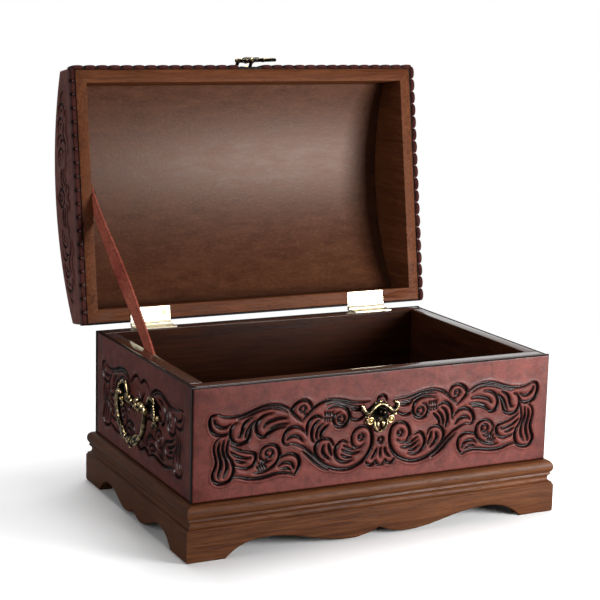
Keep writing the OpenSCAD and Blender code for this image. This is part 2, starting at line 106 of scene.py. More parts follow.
class Shader:
    """A Principled material, with short ways to add the nodes that feed it."""

    def __init__(self, name, **settings):
        self.material = bpy.data.materials.new(name)
        self.material.use_nodes = True
        self.tree = self.material.node_tree
        self.bsdf = self.tree.nodes["Principled BSDF"]
        for socket, value in settings.items():
            self.bsdf.inputs[socket.replace("_", " ")].default_value = value
        self.place = self.add("ShaderNodeTexCoord").outputs["Object"]

    def add(self, kind, inputs=None, **properties):
        node = self.tree.nodes.new(kind)
        for key, value in properties.items():
            setattr(node, key, value)
        for key, value in (inputs or {}).items():
            self.put(node.inputs[key], value)
        return node

    def put(self, socket, value):
        if isinstance(value, bpy.types.NodeSocket):
            self.tree.links.new(value, socket)
        else:
            socket.default_value = value

    def feed(self, socket, value):
        self.put(self.bsdf.inputs[socket], value)

    def scaled(self, scale):
        mapping = self.add("ShaderNodeMapping", {"Vector": self.place, "Scale": scale})
        return mapping.outputs["Vector"]

    def noise(self, scale, detail=3.0, roughness=0.55, distortion=0.0, where=None):
        node = self.add(
            "ShaderNodeTexNoise",
            {
                "Vector": where or self.place,
                "Scale": scale,
                "Detail": detail,
                "Roughness": roughness,
                "Distortion": distortion,
            },
        )
        return node.outputs["Fac"]

    def cells(self, scale):
        inputs = {"Vector": self.place, "Scale": scale}
        return self.add("ShaderNodeTexVoronoi", inputs, feature="SMOOTH_F1").outputs["Distance"]

    def ranged(self, value, low, high, to_low=0.0, to_high=1.0):
        node = self.add(
            "ShaderNodeMapRange",
            {"Value": value, "From Min": low, "From Max": high, "To Min": to_low, "To Max": to_high},
        )
        return node.outputs["Result"]

    def mix(self, factor, first, second):
        node = self.add("ShaderNodeMix", {"Factor": factor}, data_type="RGBA")
        self.put(node.inputs[6], first)
        self.put(node.inputs[7], second)
        return node.outputs[2]

    def times(self, first, second):
        return self.add("ShaderNodeMath", {0: first, 1: second}, operation="MULTIPLY").outputs[0]

    def plus(self, first, second):
        return self.add("ShaderNodeMath", {0: first, 1: second}, operation="ADD").outputs[0]

    def attribute(self, name):
        return self.add("ShaderNodeAttribute", attribute_name=name).outputs["Fac"]

    def bump(self, height, distance, strength):
        inputs = {"Height": height, "Distance": distance, "Strength": strength}
        return self.add("ShaderNodeBump", inputs).outputs["Normal"]


def rgb(red, green, blue):
    """A colour given as seen on screen, 0 to 255, turned into the linear values that shaders take."""

    def linear(value):
        value /= 255
        return value / 12.92 if value <= 0.04045 else ((value + 0.055) / 1.055) ** 2.4

    return (linear(red), linear(green), linear(blue), 1.0)


# Near-black for the dye in the grooves and for the darkest painted shade.
NEAR_BLACK = rgb(9, 3, 3)


def leather(name, base, pale, deep, body, gloss, roughness=(0.6, 0.3), fineness=150):
    """Antiqued hide: soft blotches, fine grain, and dark dye in the tooled grooves and along cut edges.

    The attribute that it reads carries the dye, and also painted shade beside the grooves, in the trim's notches,
    towards the walls' ends and on the strap's lower edge. Below 0 it marks the glossier bodies between the
    grooves.
    """
    s = Shader(name)
    blotches = s.noise(26, 5, 0.62)
    mottle = s.noise(fineness, 5, 0.7)
    streaks = s.noise(0.4 * fineness, 4, 0.6, 0.3, s.scaled((0.35, 0.35, 2.6)))
    colour = s.mix(s.ranged(blotches, 0.3, 0.68), base, pale)
    colour = s.mix(s.ranged(streaks, 0.45, 0.72, 0.0, 0.4), colour, pale)
    colour = s.mix(s.ranged(mottle, 0.42, 0.75, 0.0, 0.7), colour, deep)
    dye_and_shade_amount = s.attribute("ink")
    colour = s.mix(s.ranged(dye_and_shade_amount, -0.9, 0.0, 0.85, 0.0), colour, body)
    # Deep and near-black tones give the dye and the painted shade that the attribute carries.
    soft_dye_and_shade = s.plus(dye_and_shade_amount, s.times(s.ranged(mottle, 0.3, 0.7, -0.18, 0.18), dye_and_shade_amount))
    colour = s.mix(s.ranged(soft_dye_and_shade, 0.0, 0.5, 0.0, 0.8), colour, deep)
    colour = s.mix(s.ranged(soft_dye_and_shade, 0.34, 0.8), colour, NEAR_BLACK)
    s.feed("Base Color", colour)
    tooled = s.add("ShaderNodeMath", {0: dye_and_shade_amount}, operation="ABSOLUTE").outputs[0]
    worked = s.plus(tooled, s.ranged(s.noise(95, 3), 0.3, 0.7, -0.12, 0.12))
    s.feed("Roughness", s.ranged(worked, 0.0, 0.35, roughness[0], roughness[1]))
    s.feed("Specular IOR Level", s.ranged(dye_and_shade_amount, -0.6, 0.1, 0.5, gloss))
    pores = s.cells(1150)
    wrinkles = s.noise(420, 3, 0.6, 0.6)
    grain = s.plus(s.times(pores, 0.6), wrinkles)
    s.feed("Normal", s.bump(grain, 0.00022, 0.5))
    return s.material


def wood(name, along, dark, middle, light, gloss, roughness=0.42, varnished_above=None):
    """Stained open-grained wood. along is the axis that the grain follows.

    Varnish covers only what lies above a height in m, where one is given.
    """
    s = Shader(name, Coat_Roughness=0.14, Specular_IOR_Level=gloss)
    if varnished_above:
        height = s.add("ShaderNodeSeparateXYZ", {0: s.place}).outputs["Z"]
        s.feed("Coat Weight", s.ranged(height, varnished_above - 0.0006, varnished_above))
    across = [1.0, 1.0, 1.0]
    across["XYZ".index(along)] = 0.055
    stretched = s.scaled(across)
    bands = s.noise(85, 5, 0.62, 0.9, stretched)
    streaks = s.noise(520, 3, 0.6, 0.2, stretched)
    broad = s.noise(14, 3, 0.5)
    colour = s.mix(s.ranged(bands, 0.33, 0.68), dark, middle)
    colour = s.mix(s.ranged(streaks, 0.42, 0.75, 0.0, 0.75), colour, light)
    colour = s.mix(s.ranged(broad, 0.35, 0.75, 0.0, 0.35), colour, light)
    pore_scale = [1.0, 1.0, 1.0]
    pore_scale["XYZ".index(along)] = 0.09
    pores = s.ranged(s.noise(1500, 2, 0.5, 0.0, s.scaled(pore_scale)), 0.58, 0.68)
    colour = s.mix(s.times(pores, 0.55), colour, dark)
    s.feed("Base Color", colour)
    s.feed("Roughness", s.ranged(streaks, 0.3, 0.7, roughness, roughness + 0.12))
    pore_depth = 0.00012
    s.feed("Normal", s.bump(pores, -pore_depth, 0.6))
    return s.material


def lining(name):
    """The vault's brown lining paper: finely mottled in short level streaks, with a low sheen."""
    s = Shader(name, Specular_IOR_Level=0.28, Specular_Tint=(1.0, 0.8, 0.72, 1.0))
    clouds = s.noise(30, 5, 0.6, 0.4)
    streaks = s.noise(150, 5, 0.72, 0.2, s.scaled((0.3, 1.0, 1.0)))
    specks = s.noise(700, 3, 0.7, 0.0, s.scaled((0.5, 1.0, 1.0)))
    colour = s.mix(s.ranged(streaks, 0.34, 0.66), rgb(62, 32, 16), rgb(84, 48, 28))
    colour = s.mix(s.ranged(clouds, 0.36, 0.7, 0.0, 0.4), colour, rgb(74, 42, 25))
    colour = s.mix(s.ranged(specks, 0.5, 0.72, 0.0, 0.4), colour, rgb(112, 70, 46))
    s.feed("Base Color", colour)
    s.feed("Roughness", s.ranged(streaks, 0.3, 0.7, 0.36, 0.44))
    s.feed("Normal", s.bump(s.noise(620, 4, 0.6), 0.00015, 0.5))
    return s.material


def brass(name, bright, patina, roughness=(0.2, 0.5), by_wear=True, metallic=1.0):
    """Brass. Where it follows the cast pieces' attribute, patina fills the recesses, the high spots are rubbed
    bright, and faces that turn upwards get a painted highlight.
    """
    s = Shader(name, Metallic=metallic)
    cloud = s.noise(240, 4, 0.65)
    if by_wear:
        rubbed_and_lit = s.plus(s.attribute("wear"), s.ranged(cloud, 0.3, 0.7, -0.2, 0.2))
        shine = s.ranged(rubbed_and_lit, 0.34, 0.72)
    else:
        shine = s.ranged(cloud, 0.25, 0.5, 0.55, 1.0)
    s.feed("Base Color", s.mix(shine, patina, bright))
    s.feed("Roughness", s.ranged(shine, 0.0, 1.0, roughness[1], roughness[0]))
    s.feed("Normal", s.bump(s.noise(900, 3, 0.6), 0.00006, 0.5))
    return s.material


# Ground, pale blotches, deep tone for mottles, dye and painted shade, rounded bodies, gloss, then roughness and
# fineness where they differ
LEATHERS = {
    "case_leather": (rgb(84, 31, 24), rgb(109, 50, 42), rgb(37, 9, 6), rgb(66, 19, 15), 0.2),
    "lid_leather": (rgb(106, 57, 49), rgb(124, 74, 67), rgb(58, 27, 23), rgb(92, 47, 41), 0.12),
    "trim_leather": (rgb(80, 42, 36), rgb(98, 54, 48), rgb(46, 20, 18), NEAR_BLACK, 0.04, (0.7, 0.6)),
    "strap_leather": (rgb(140, 52, 36), rgb(196, 106, 84), rgb(76, 23, 15), NEAR_BLACK, 0.12, (0.7, 0.5), 420),
}
# Bright, patina, roughness of both, then by_wear and metallic where they differ
BRASSES = {
    "hinge_brass": (rgb(236, 226, 198), rgb(204, 184, 138), (0.3, 0.42), False, 0.6),
    "screw_brass": (rgb(150, 136, 104), rgb(70, 56, 38), (0.3, 0.5), False),
    "antique_brass": (rgb(244, 214, 160), rgb(24, 22, 18), (0.18, 0.36)),
    "dark_brass": (rgb(66, 54, 40), rgb(12, 12, 13), (0.12, 0.25)),
    "plain_antique": (rgb(214, 176, 104), rgb(86, 64, 34), (0.25, 0.4), False),
}
# Dark, middle and light tone of each stain
BASE_COLOURS = rgb(50, 24, 10), rgb(78, 42, 20), rgb(104, 62, 34)
CASE_COLOURS = rgb(30, 11, 3), rgb(52, 22, 8), rgb(70, 34, 14)
LID_COLOURS = rgb(70, 34, 17), rgb(98, 53, 29), rgb(122, 73, 44)
# Height of the case's polished rim, in m
CASE_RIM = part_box("case_front_wall")[1][2] - 0.0002

MATERIALS = {name: leather(name, *settings) for name, settings in LEATHERS.items()}
MATERIALS.update({name: brass(name, *settings) for name, settings in BRASSES.items()})
MATERIALS["lid_lining"] = lining("lid_lining")
WOODS = {
    "base": (BASE_COLOURS, {"gloss": 0.14}),
    "case": (CASE_COLOURS, {"gloss": 0.06, "varnished_above": CASE_RIM}),
    "lid": (LID_COLOURS, {"gloss": 0.08, "roughness": 0.45}),
}
for kind, (colours, settings) in WOODS.items():
    for axis in "XY":
        MATERIALS[f"{kind}_{axis}"] = wood(f"{kind}_wood_{axis}", axis, *colours, **settings)


# ---- meshes ----


BODIES = frame["record"]["behaviour"]["bodies"]
BODY_OF = {node: body for body, nodes in BODIES.items() for node in nodes}
# CAD nodes that a piece stands for
stood_for = set()


def link_piece(name, mesh, material, body, replaced):
    """Puts a finished mesh in the scene as a piece of a body, in place of the CAD nodes that it replaces."""
    mesh.materials.append(MATERIALS[material])
    piece = bpy.data.objects.new(name, mesh)
    bpy.context.scene.collection.objects.link(piece)
    if body:
        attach(piece, body)
    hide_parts(*replaced)
    stood_for.update(replaced)
    return piece


def new_piece(name, points, faces, material, body, slot, replaced, **attributes):
    """A smooth mesh piece from points in metres. Attributes are one number per point."""
    mesh = bpy.data.meshes.new(name)
    mesh.from_pydata(np.asarray(points).tolist(), [], faces)
    mesh.polygons.foreach_set("use_smooth", [True] * len(mesh.polygons))
    for key, values in attributes.items():
        mesh.attributes.new(key, "FLOAT", "POINT").data.foreach_set("value", np.asarray(values, np.float32))
    mesh.update()
    return link_piece(name, mesh, material, body, replaced)


def eased(t):
    t = np.clip(t, 0, 1)
    return t * t * (3 - 2 * t)


def spread(low, high, pitch, rim=1.6):
    """Grid lines from low to high, a pitch apart, and closer within the rim at both ends."""
    near = np.array([0, 0.04, 0.12, 0.25, 0.42, 0.64, 1.0]) * rim
    count = max(2, int(round((high - low - 2 * rim) / pitch)) + 1)
    middle = np.linspace(low + rim, high - rim, count)
    return np.concatenate([low + near[:-1], middle, (high - near[:-1])[::-1]])


def slab(columns, rows, place, height, thickness):
    """Points and faces of a sheet: a fine front at place(u, v, height), a rim and a coarse back.

    The back has one face for each row between the two side edges, so a sheet may bend along its columns.
    """
    u, v = np.meshgrid(columns, rows, indexing="ij")
    nu, nv = u.shape
    front = place(u, v, height).reshape(-1, 3)
    index = np.arange(nu * nv).reshape(nu, nv)
    corners = [index[:-1, :-1], index[1:, :-1], index[1:, 1:], index[:-1, 1:]]
    faces = np.stack(corners, -1).reshape(-1, 4).tolist()
    loop = np.concatenate([index[:-1, 0], index[-1, :-1], index[:0:-1, -1], index[0, :0:-1]])
    under = place(u, v, np.full_like(height, -thickness)).reshape(-1, 3)[loop]
    start = nu * nv
    ring = len(loop)
    for i in range(ring):
        j = (i + 1) % ring
        faces.append([int(loop[j]), int(loop[i]), start + i, start + j])
    right = [start + nu - 1 + i for i in range(nv)]
    left = [start] + [start + ring - i for i in range(1, nv)]
    bottom = [start + i for i in range(nu)]
    top = [start + nu - 1 + nv - 1 + i for i in range(nu)]
    faces.append(bottom[::-1] + [left[1], right[1]])
    for k in range(1, nv - 2):
        faces.append([right[k], left[k], left[k + 1], right[k + 1]])
    faces.append([right[nv - 2], left[nv - 2]] + top[::-1])
    return np.vstack([front, under]), faces, ring


def skinned(rings, sides):
    """Faces of a bar whose points come in rings of so many sides, closed at both ends."""
    faces = []
    for i in range(rings - 1):
        for k in range(sides):
            a, b = i * sides + k, i * sides + (k + 1) % sides
            faces.append([a, b, b + sides, a + sides])
    faces.append(list(range(sides))[::-1])
    faces.append(list(range((rings - 1) * sides, rings * sides)))
    return faces


def turned_over(faces):
    return [[face[0]] + face[:0:-1] for face in faces]


def edge_fall(distance, radius):
    """How far a rounded edge drops below the face, at a distance from it."""
    d = np.clip(distance, 0, radius)
    return radius - np.sqrt(np.maximum(radius**2 - (radius - d) ** 2, 0))


def dyed_edge(ink, edge, strength, reach):
    """Ink with a dark rim that fades over its reach from the edge."""
    return np.maximum(ink, strength * eased((reach - edge) / reach))


def leather_sheet(name, node, body, columns, rows, place, height, ink, thickness):
    """A tooled sheet of a body's leather in place of a node, with a dark rim and back."""
    points, faces, ring = slab(columns, rows, place, height, thickness)
    ink = np.concatenate([ink.ravel(), np.ones(ring)])
    kind = body + "_leather"
    return new_piece(name, points, faces, kind, body, kind, (node,), ink=ink)


def flat(origin, u_axis, v_axis):
    """Maps panel coordinates in mm on a flat face to metres. Its height goes out along u_axis x v_axis."""
    out = np.cross(u_axis, v_axis)

    def place(u, v, h):
        return MM * (origin + u[..., None] * u_axis + v[..., None] * v_axis + h[..., None] * out)

    return place


# ---- tooling: grooves drawn as strokes ----


def curve_through(points, step=0.3):
    """Points a step apart on a smooth curve through the given points."""
    p = np.array(points, float)
    ends = np.vstack([2 * p[0] - p[1], p, 2 * p[-1] - p[-2]])
    out = []
    for a, b, c, d in zip(ends, ends[1:], ends[2:], ends[3:]):
        count = max(2, int(np.ceil(np.linalg.norm(c - b) / step)))
        t = np.linspace(0, 1, count, endpoint=False)[:, None]
        square = (2 * a - 5 * b + 4 * c - d) * t**2
        cube = (3 * b - a - 3 * c + d) * t**3
        out.append(0.5 * (2 * b + (c - a) * t + square + cube))
    out.append(p[-1:])
    return np.vstack(out)


# Two grooves nearer than twice this are taken as one closed contour, in mm
CONTOUR_GAP = 1.3


class Tooling:
    """How far every spot of a panel is from the nearest groove, kept on a fine raster in mm."""

    # How far distances are kept, the raster's pitch, and the blur of the raised ornament's outline
    REACH = 4.2
    PITCH = 0.25
    BLUR = 2.6

    def __init__(self, low, high):
        self.low = np.array(low, float) - self.REACH
        size = np.ceil((np.array(high, float) + self.REACH - self.low) / self.PITCH).astype(int) + 1
        self.x = self.low[0] + np.arange(size[0]) * self.PITCH
        self.y = self.low[1] + np.arange(size[1]) * self.PITCH
        self.distance = np.full(tuple(size), self.REACH)

    def dot(self, x, y, radius):
        reach = self.REACH + radius
        i0, j0 = (int((c - reach - low) / self.PITCH) + 1 for c, low in ((x, self.low[0]), (y, self.low[1])))
        i1, j1 = (int((c + reach - low) / self.PITCH) + 1 for c, low in ((x, self.low[0]), (y, self.low[1])))
        i0, j0 = max(i0, 0), max(j0, 0)
        if i1 <= i0 or j1 <= j0:
            return
        near = self.distance[i0:i1, j0:j1]
        gap = np.hypot(self.x[i0:i1, None] - x, self.y[None, j0:j1] - y) - radius
        np.minimum(near, gap, out=near)

    def stroke(self, points, width, taper=0.35):
        """A groove that is widest in its middle and thins towards its ends."""
        line = curve_through(points)
        t = np.linspace(0, 1, len(line))
        swell = taper + (1 - taper) * np.sin(np.pi * t) ** 0.5
        for (x, y), w in zip(line, swell):
            self.dot(x, y, 0.5 * width * w)

    def ring(self, x, y, radius, width):
        for a in np.linspace(0, 2 * np.pi, int(radius * 22), endpoint=False):
            self.dot(x + radius * math.cos(a), y + radius * math.sin(a), 0.5 * width)

    def sample(self, raster, u, v):
        i = np.clip((u - self.low[0]) / self.PITCH, 0, raster.shape[0] - 1.001)
        j = np.clip((v - self.low[1]) / self.PITCH, 0, raster.shape[1] - 1.001)
        i0, j0 = i.astype(int), j.astype(int)
        fi, fj = i - i0, j - j0
        low = raster[i0, j0] * (1 - fj) + raster[i0, j0 + 1] * fj
        high = raster[i0 + 1, j0] * (1 - fj) + raster[i0 + 1, j0 + 1] * fj
        return low * (1 - fi) + high * fi

    def raised(self):
        """From 0 on the plain ground to 1 inside the ornament, with a soft edge."""
        cover = (self.distance < 1.8).astype(float)
        half = int(self.BLUR / self.PITCH)
        for axis in (0, 1, 0, 1):
            margins = [(half + 1, half) if a == axis else (0, 0) for a in (0, 1)]
            total = np.cumsum(np.pad(cover, margins, "edge"), axis)
            count = cover.shape[axis]
            first = np.take(total, range(count), axis)
            last = np.take(total, range(2 * half + 1, 2 * half + 1 + count), axis)
            cover = (last - first) / (2 * half + 1)
        return eased((cover - 0.25) / 0.5)

    def outside(self):
        """1 on the plain ground that surrounds the ornament, 0 inside its outer contour."""
        reached = np.zeros_like(self.distance, dtype=bool)
        reached[0], reached[-1], reached[:, 0], reached[:, -1] = True, True, True, True
        reached = self.flooded(reached, self.distance > CONTOUR_GAP, 5000)
        return self.flooded(reached, self.distance > 0, int(CONTOUR_GAP / self.PITCH)).astype(float)

    @staticmethod
    def flooded(reached, free, most_steps):
        """Spreads the reached cells over the free ones, until nothing is added or the steps run out."""
        for _ in range(most_steps):
            grown = reached.copy()
            grown[1:] |= reached[:-1]
            grown[:-1] |= reached[1:]
            grown[:, 1:] |= reached[:, :-1]
            grown[:, :-1] |= reached[:, 1:]
            grown &= free
            grown |= reached
            if (grown == reached).all():
                break
            reached = grown
        return reached

    def shape(self, u, v, depth=1.4, shoulder=1.15, swell=0.35):
        """Height and darkness at panel coordinates: dye in the grooves, with painted shade beside them and along a
        bevel outside the ornament. Darkness below 0 marks the rounded bodies inside the ornament.

        depth is that of the grooves, shoulder rounds what lies beside them, and swell lifts the ornament.
        """
        d = self.sample(self.distance, u, v)
        raised = self.sample(self.raised(), u, v)
        around = self.sample(self.outside(), u, v)
        inside = 1 - around
        groove = eased((0.1 - d) / 0.75)
        round_off = (1 - np.clip(d / (1.3 + 0.9 * inside), 0, 1)) ** 1.7 * (0.35 + 0.65 * inside)
        # A thin line of painted shade, with a small drop in height, along a bevel just outside the ornament.
        line = around * np.exp(-(((d - 1.7) / 0.26) ** 2))
        height = swell * (raised - 1) - depth * groove - shoulder * round_off - 0.16 * line
        ink = 0.95 * eased((0.22 - d) / 0.62) + 0.34 * line
        # Dye and painted shade beside the grooves, stronger inside the ornament.
        groove_dye_and_shade = np.exp(-np.clip(d, 0, 9) / (0.6 + 0.6 * inside)) * (0.3 + 0.3 * inside)
        body = inside * raised * eased((d - 0.25) / 1.0)
        return height, np.clip(np.maximum(ink, groove_dye_and_shade), 0, 1) - body


# A groove is cut this much wide in mm, plus a share of the width in the tables; taper is its ends' share
STROKE_LEAST = 0.7
STROKE_GAIN = 0.66
STROKE_TAPER = 0.2
# Strokes of one half of the case front's ornament: groove width, then points (distance from the ornament's
# middle, height above the wall's middle), in mm
OUTER_STROKES = [
    # the bud between the two arches of the top contour
    (1.7, [(50, 15), (51, 18.7), (53, 21.2), (56.4, 22.2), (60.2, 21.2), (63, 18.7), (64.2, 15.6),
           (60.3, 11.4), (56.7, 8.6)]),
    (1.1, [(51, 14.2), (53, 12.6), (55.6, 13.2)]),
    # top contour, outer arch, running out into the corner leaf
    (1.7, [(64.3, 15.8), (67.7, 18.3), (71.8, 20.3), (76.8, 21.3), (81.8, 21.2), (87.7, 19.9),
           (93.5, 17.8), (99.3, 16.4), (105.2, 16), (110.5, 16.8), (114.8, 18.4)]),
    (0.8, [(67.5, 15.7), (72, 18), (77, 19.1), (82, 19), (88, 17.7), (94, 15.6), (101, 14.2)]),
    (1.9, [(114.3, 18.6), (118.2, 18), (119.9, 15.4), (119.8, 11.8), (118.6, 8.6), (116.4, 6.3),
           (113, 5.1), (109.3, 5.2), (106, 6.5)]),
    (1.5, [(106, 11.4), (109.3, 9.8), (113, 10.4), (115.9, 12.6), (117, 15.4)]),
    # C-scroll beside the leaf
    (1.9, [(88.4, 12.6), (90.6, 9.6), (92.2, 6.2), (92.8, 2.9), (94.4, 0), (97.7, -1.5), (101.2, -1.8),
           (104, 0), (105.6, 2.9), (106, 6.2), (105.2, 9.1), (103.4, 11.2), (101.2, 12)]),
    (1.7, [(91.6, 14.2), (94.8, 12.4), (97.2, 9.6), (98, 6.2), (98.9, 3.7), (101, 2.8)]),
    (1.3, [(89.6, 12), (91.9, 9.9), (93.9, 7), (95.2, 3.9), (95.7, 1.4)]),
    # second scroll, turned inwards
    (1.9, [(77.5, 15.8), (81.8, 15.3), (85.2, 13.7), (87.7, 10.8), (88.5, 7), (87.7, 3.7), (85.6, 1.6),
           (82.7, 1.2), (81, 2.8), (77.7, 4.5), (73.5, 5.8), (68.5, 6)]),
    (1.8, [(67.7, 11.6), (71.8, 12), (76.8, 11.3), (81, 9.9), (83.5, 7.4)]),
    (1.1, [(66.5, 8), (71.8, 7.9), (76.8, 6.8), (80.2, 4.8)]),
    # leaf in the middle of the half, above the long S
    (1.8, [(54.6, 1.2), (57.7, 4.1), (61.8, 5.5), (66, 4.5), (68.9, 1.6), (70.2, -2), (69.4, -4.6),
           (66.8, -6)]),
    (1.6, [(56, -4.6), (58.5, -1.8), (61.8, -0.5), (65.2, -0.9), (67.3, -2.4)]),
    # upright stalk at the end
    (1.7, [(113.5, 3.7), (116.4, 0.3), (117, -3.8), (116.1, -8), (115.4, -12.2), (116.5, -16.3),
           (117.8, -19.7), (117, -23), (114.2, -25.4), (110.2, -25.6), (106, -24), (103.9, -20.6),
           (103.4, -16.3), (104.6, -12.6), (107, -9), (108.3, -5), (107.6, -0.5), (106.4, 3.4)]),
    (1.9, [(113.2, 0.5), (113.9, -3.8), (113.1, -8), (112, -12.2), (112.4, -16.3), (113.6, -19.8),
           (113.8, -22)]),
    (1.5, [(110.4, 1.5), (111, -3.8), (110, -8), (108.4, -12.2), (108.1, -16.3), (109.3, -19.7),
           (110.4, -21.8)]),
    # curls between the stalk and the ring
    (1.7, [(105.4, -2.4), (101.8, -4.8), (97.7, -6.6), (93.5, -7.5), (90.2, -8.4), (88.6, -10.6),
           (88.7, -13.6), (90.6, -16.3), (94.3, -17.8), (98.5, -17.2), (102.7, -15.8)]),
    (1.5, [(105.8, -6), (102.5, -8.6), (98.7, -10.3), (95, -11.3), (92, -11.2)]),
    (1.1, [(102.3, -12), (99, -13.3), (95.6, -13.9)]),
    # base line and the bird-like leaf that it turns into
    (1.9, [(103.5, -22.4), (98.5, -23.2), (93.5, -24.7), (87.7, -25.2), (81.8, -24.8), (76, -23.7),
           (70.2, -23.4), (65.2, -24.3), (61.4, -26)]),
    (1.9, [(61.4, -26), (59.3, -22.2), (58.2, -18.8), (58.9, -15.1), (61.4, -12.6), (65.2, -11.5),
           (69.3, -12.2), (72.4, -13.6)]),
    (1.7, [(61.8, -21.8), (63.2, -18.8), (66, -17.2), (70, -17.2), (73, -19)]),
    (1.1, [(64, -22.4), (67, -20.8), (71.4, -20.9)]),
    # ring curl
    (1.7, [(86, -10.5), (84.5, -6.8), (81, -4.5), (76.8, -4.4), (73.4, -6.8), (72.2, -10.5), (73, -14.7),
           (76, -18), (80.2, -20.4), (85.2, -21.6), (89.5, -21.3)]),
    (1.1, [(86, -10.5), (84.6, -13.6), (81.2, -15.2), (78, -14.4)]),
]
INNER_STROKES = [
    # top contour, inner arch, with the fine line under it
    (1.6, [(9, 17), (15, 16.9), (21, 17.5), (27, 19.1), (33, 20.3), (38.5, 20.5), (43.5, 19.4), (48, 17),
           (51.5, 13.8), (57, 8.6)]),
    (0.9, [(13.5, 14.4), (20, 14.6), (25, 16.2), (30, 17.9), (35, 18.5), (40, 18.1)]),
    # long S line that ends in the spiral by the middle
    (2.1, [(67.5, -5.6), (64, -5.3), (60.2, -6.3), (55.2, -8.8), (51, -12.2), (46.8, -16.3),
           (41.8, -20.5), (36, -23.8), (30.2, -25.7), (24.3, -26.2), (18.5, -24.8), (13.5, -22.2),
           (9.3, -18), (6.9, -13), (6.4, -7.4), (7.6, -2.4), (10.2, 0.3), (13.6, 1), (17.7, -0.1),
           (20.6, -3.4), (21.4, -7.2), (20.2, -10.9), (17.7, -12.9), (14.6, -12.5), (12.3, -10.8)]),
    (1.2, [(56.5, -10.8), (52, -14.6), (48, -18.6), (43, -22.6), (38, -25.2)]),
    # inner scroll and its strokes
    (1.8, [(42.4, 9.2), (46.8, 10.9), (51, 8.9), (53.2, 4.5), (53.3, -0.7)]),
    (1.8, [(45, 8), (48.1, 5.3), (49.8, 1.2), (49.7, -3), (48.2, -6)]),
    (1.4, [(42, 5.6), (45, 2.6), (46.5, -1.4), (46.3, -4.6)]),
    (1.8, [(38.4, 4.3), (41.4, 2), (43.4, -1.4), (43.4, -4)]),
    # ring scroll under the inner arch
    (1.8, [(39.4, 15), (33.5, 16.2), (28.5, 15.3), (25.2, 13.3), (23.4, 9.9), (23.7, 6.2), (26, 3.3),
           (29.4, 2), (33, 3.3), (34.7, 7), (33.4, 10.4), (30.4, 11.8)]),
    # links from the catch to the ring scroll
    (1.6, [(12.6, 12.9), (17.7, 12.1), (22.6, 13.6)]),
    (1.7, [(11.4, 8.6), (15.6, 5.9), (20, 5.8), (23.3, 8)]),
    # leaves over the bottom of the S
    (1.7, [(24.8, -8.4), (28.5, -7), (31.8, -9.7), (33.1, -13.8), (31.8, -18), (28.5, -20.7),
           (24.3, -21.5), (20.6, -20.7)]),
    (1.6, [(28, -13), (24.6, -15.2), (20, -16.4), (15.2, -15.8)]),
    (1.3, [(28.6, -16.2), (25, -18.4), (20.8, -18.8)]),
    (0.9, [(27, -10.4), (23.4, -12.8), (18.6, -14)]),
    (1.7, [(34.2, -9.8), (36.6, -5.6), (41, -4.3), (45.2, -5.9), (47.3, -9.7), (46.8, -13.8),
           (44.3, -17.2), (40.8, -19)]),
    (1.7, [(41.2, -8.6), (42, -12.2), (40.3, -15.5), (37.1, -18.2)]),
    (1.4, [(37.8, -7.8), (37, -12.2), (35.2, -16)]),
    # fan and scallops under the middle
    (1.3, [(2.9, -14.6), (4, -18.4), (6.8, -21.2)]),
    (1.3, [(3.4, -22.6), (5.4, -25.2), (8.6, -25.4), (10.8, -22.8)]),
]
MIDDLE_STROKES = [
    (1.3, [(0, -14.6), (0, -21)]),
    (1.3, [(-3.4, -22.8), (-1.8, -25.8), (1.8, -25.8), (3.4, -22.8)]),
    (1.5, [(-3.6, 16.2), (-2.6, 19), (0, 20.2), (2.6, 19), (3.6, 16.2)]),
]
# Rings: x, z, radius, groove width
OUTER_RINGS = [(56.6, 16.4, 1.9, 1.1), (79.2, -9.8, 2.4, 1.2)]
INNER_RINGS = [(14.4, -6.2, 1.8, 1.2), (29, 7, 2.4, 1.2)]
# Rows of short hatch strokes: first x and z, step between strokes, half of a stroke, and how many
OUTER_HATCHES = [((82.2, -17.6), (1.55, -0.45), (0.75, 1.35), 4), ((81.2, -13.9), (1.6, -0.7), (0.5, 0.9), 4)]
INNER_HATCHES = [((35.4, 11.4), (1.75, 0.1), (0.25, 1.2), 4), ((35.8, 7.9), (1.7, 0.1), (0.2, 1.0), 4)]


ALL_STROKES = OUTER_STROKES + INNER_STROKES
ALL_RINGS = OUTER_RINGS + INNER_RINGS
ALL_HATCHES = OUTER_HATCHES + INNER_HATCHES
FLOWER_RING = (-9.4, 1.9, 1.2)


def draw(tooling, strokes, place=lambda x, z: (x, z), gain=1.0, taper=0.35):
    """Cuts the strokes of a table, with every point put through place."""
    for width, points in strokes:
        tooling.stroke([place(x, z) for x, z in points], gain * width, taper)


def draw_half(tooling, strokes, rings, hatches, centre, side, shift=0.0):
    """Half an ornament: side is 1 or -1, and shift moves the strokes towards the middle."""

    def across(x):
        return centre + side * (x - shift)

    for width, points in strokes:
        tooling.stroke([(across(x), z) for x, z in points], STROKE_LEAST + STROKE_GAIN * width, STROKE_TAPER)
    for x, z, radius, width in rings:
        tooling.ring(across(x), z, radius, width)
    for (x, z), (step_x, step_z), (half_x, half_z), count in hatches:
        for i in range(count):
            cx, cz = x + i * step_x, z + i * step_z
            ends = [(cx - half_x, cz - half_z), (cx, cz), (cx + half_x, cz + half_z)]
            tooling.stroke([(across(a), b) for a, b in ends], 0.9, 0.7)


def long_ornament(half_length, half_height, centre=0.0):
    tooling = Tooling((-half_length, -half_height), (half_length, half_height))
    for side in (-1, 1):
        draw_half(tooling, ALL_STROKES, ALL_RINGS, ALL_HATCHES, centre, side)
    draw(tooling, MIDDLE_STROKES, lambda x, z: (centre + x, z))
    tooling.ring(centre, *FLOWER_RING)
    return tooling


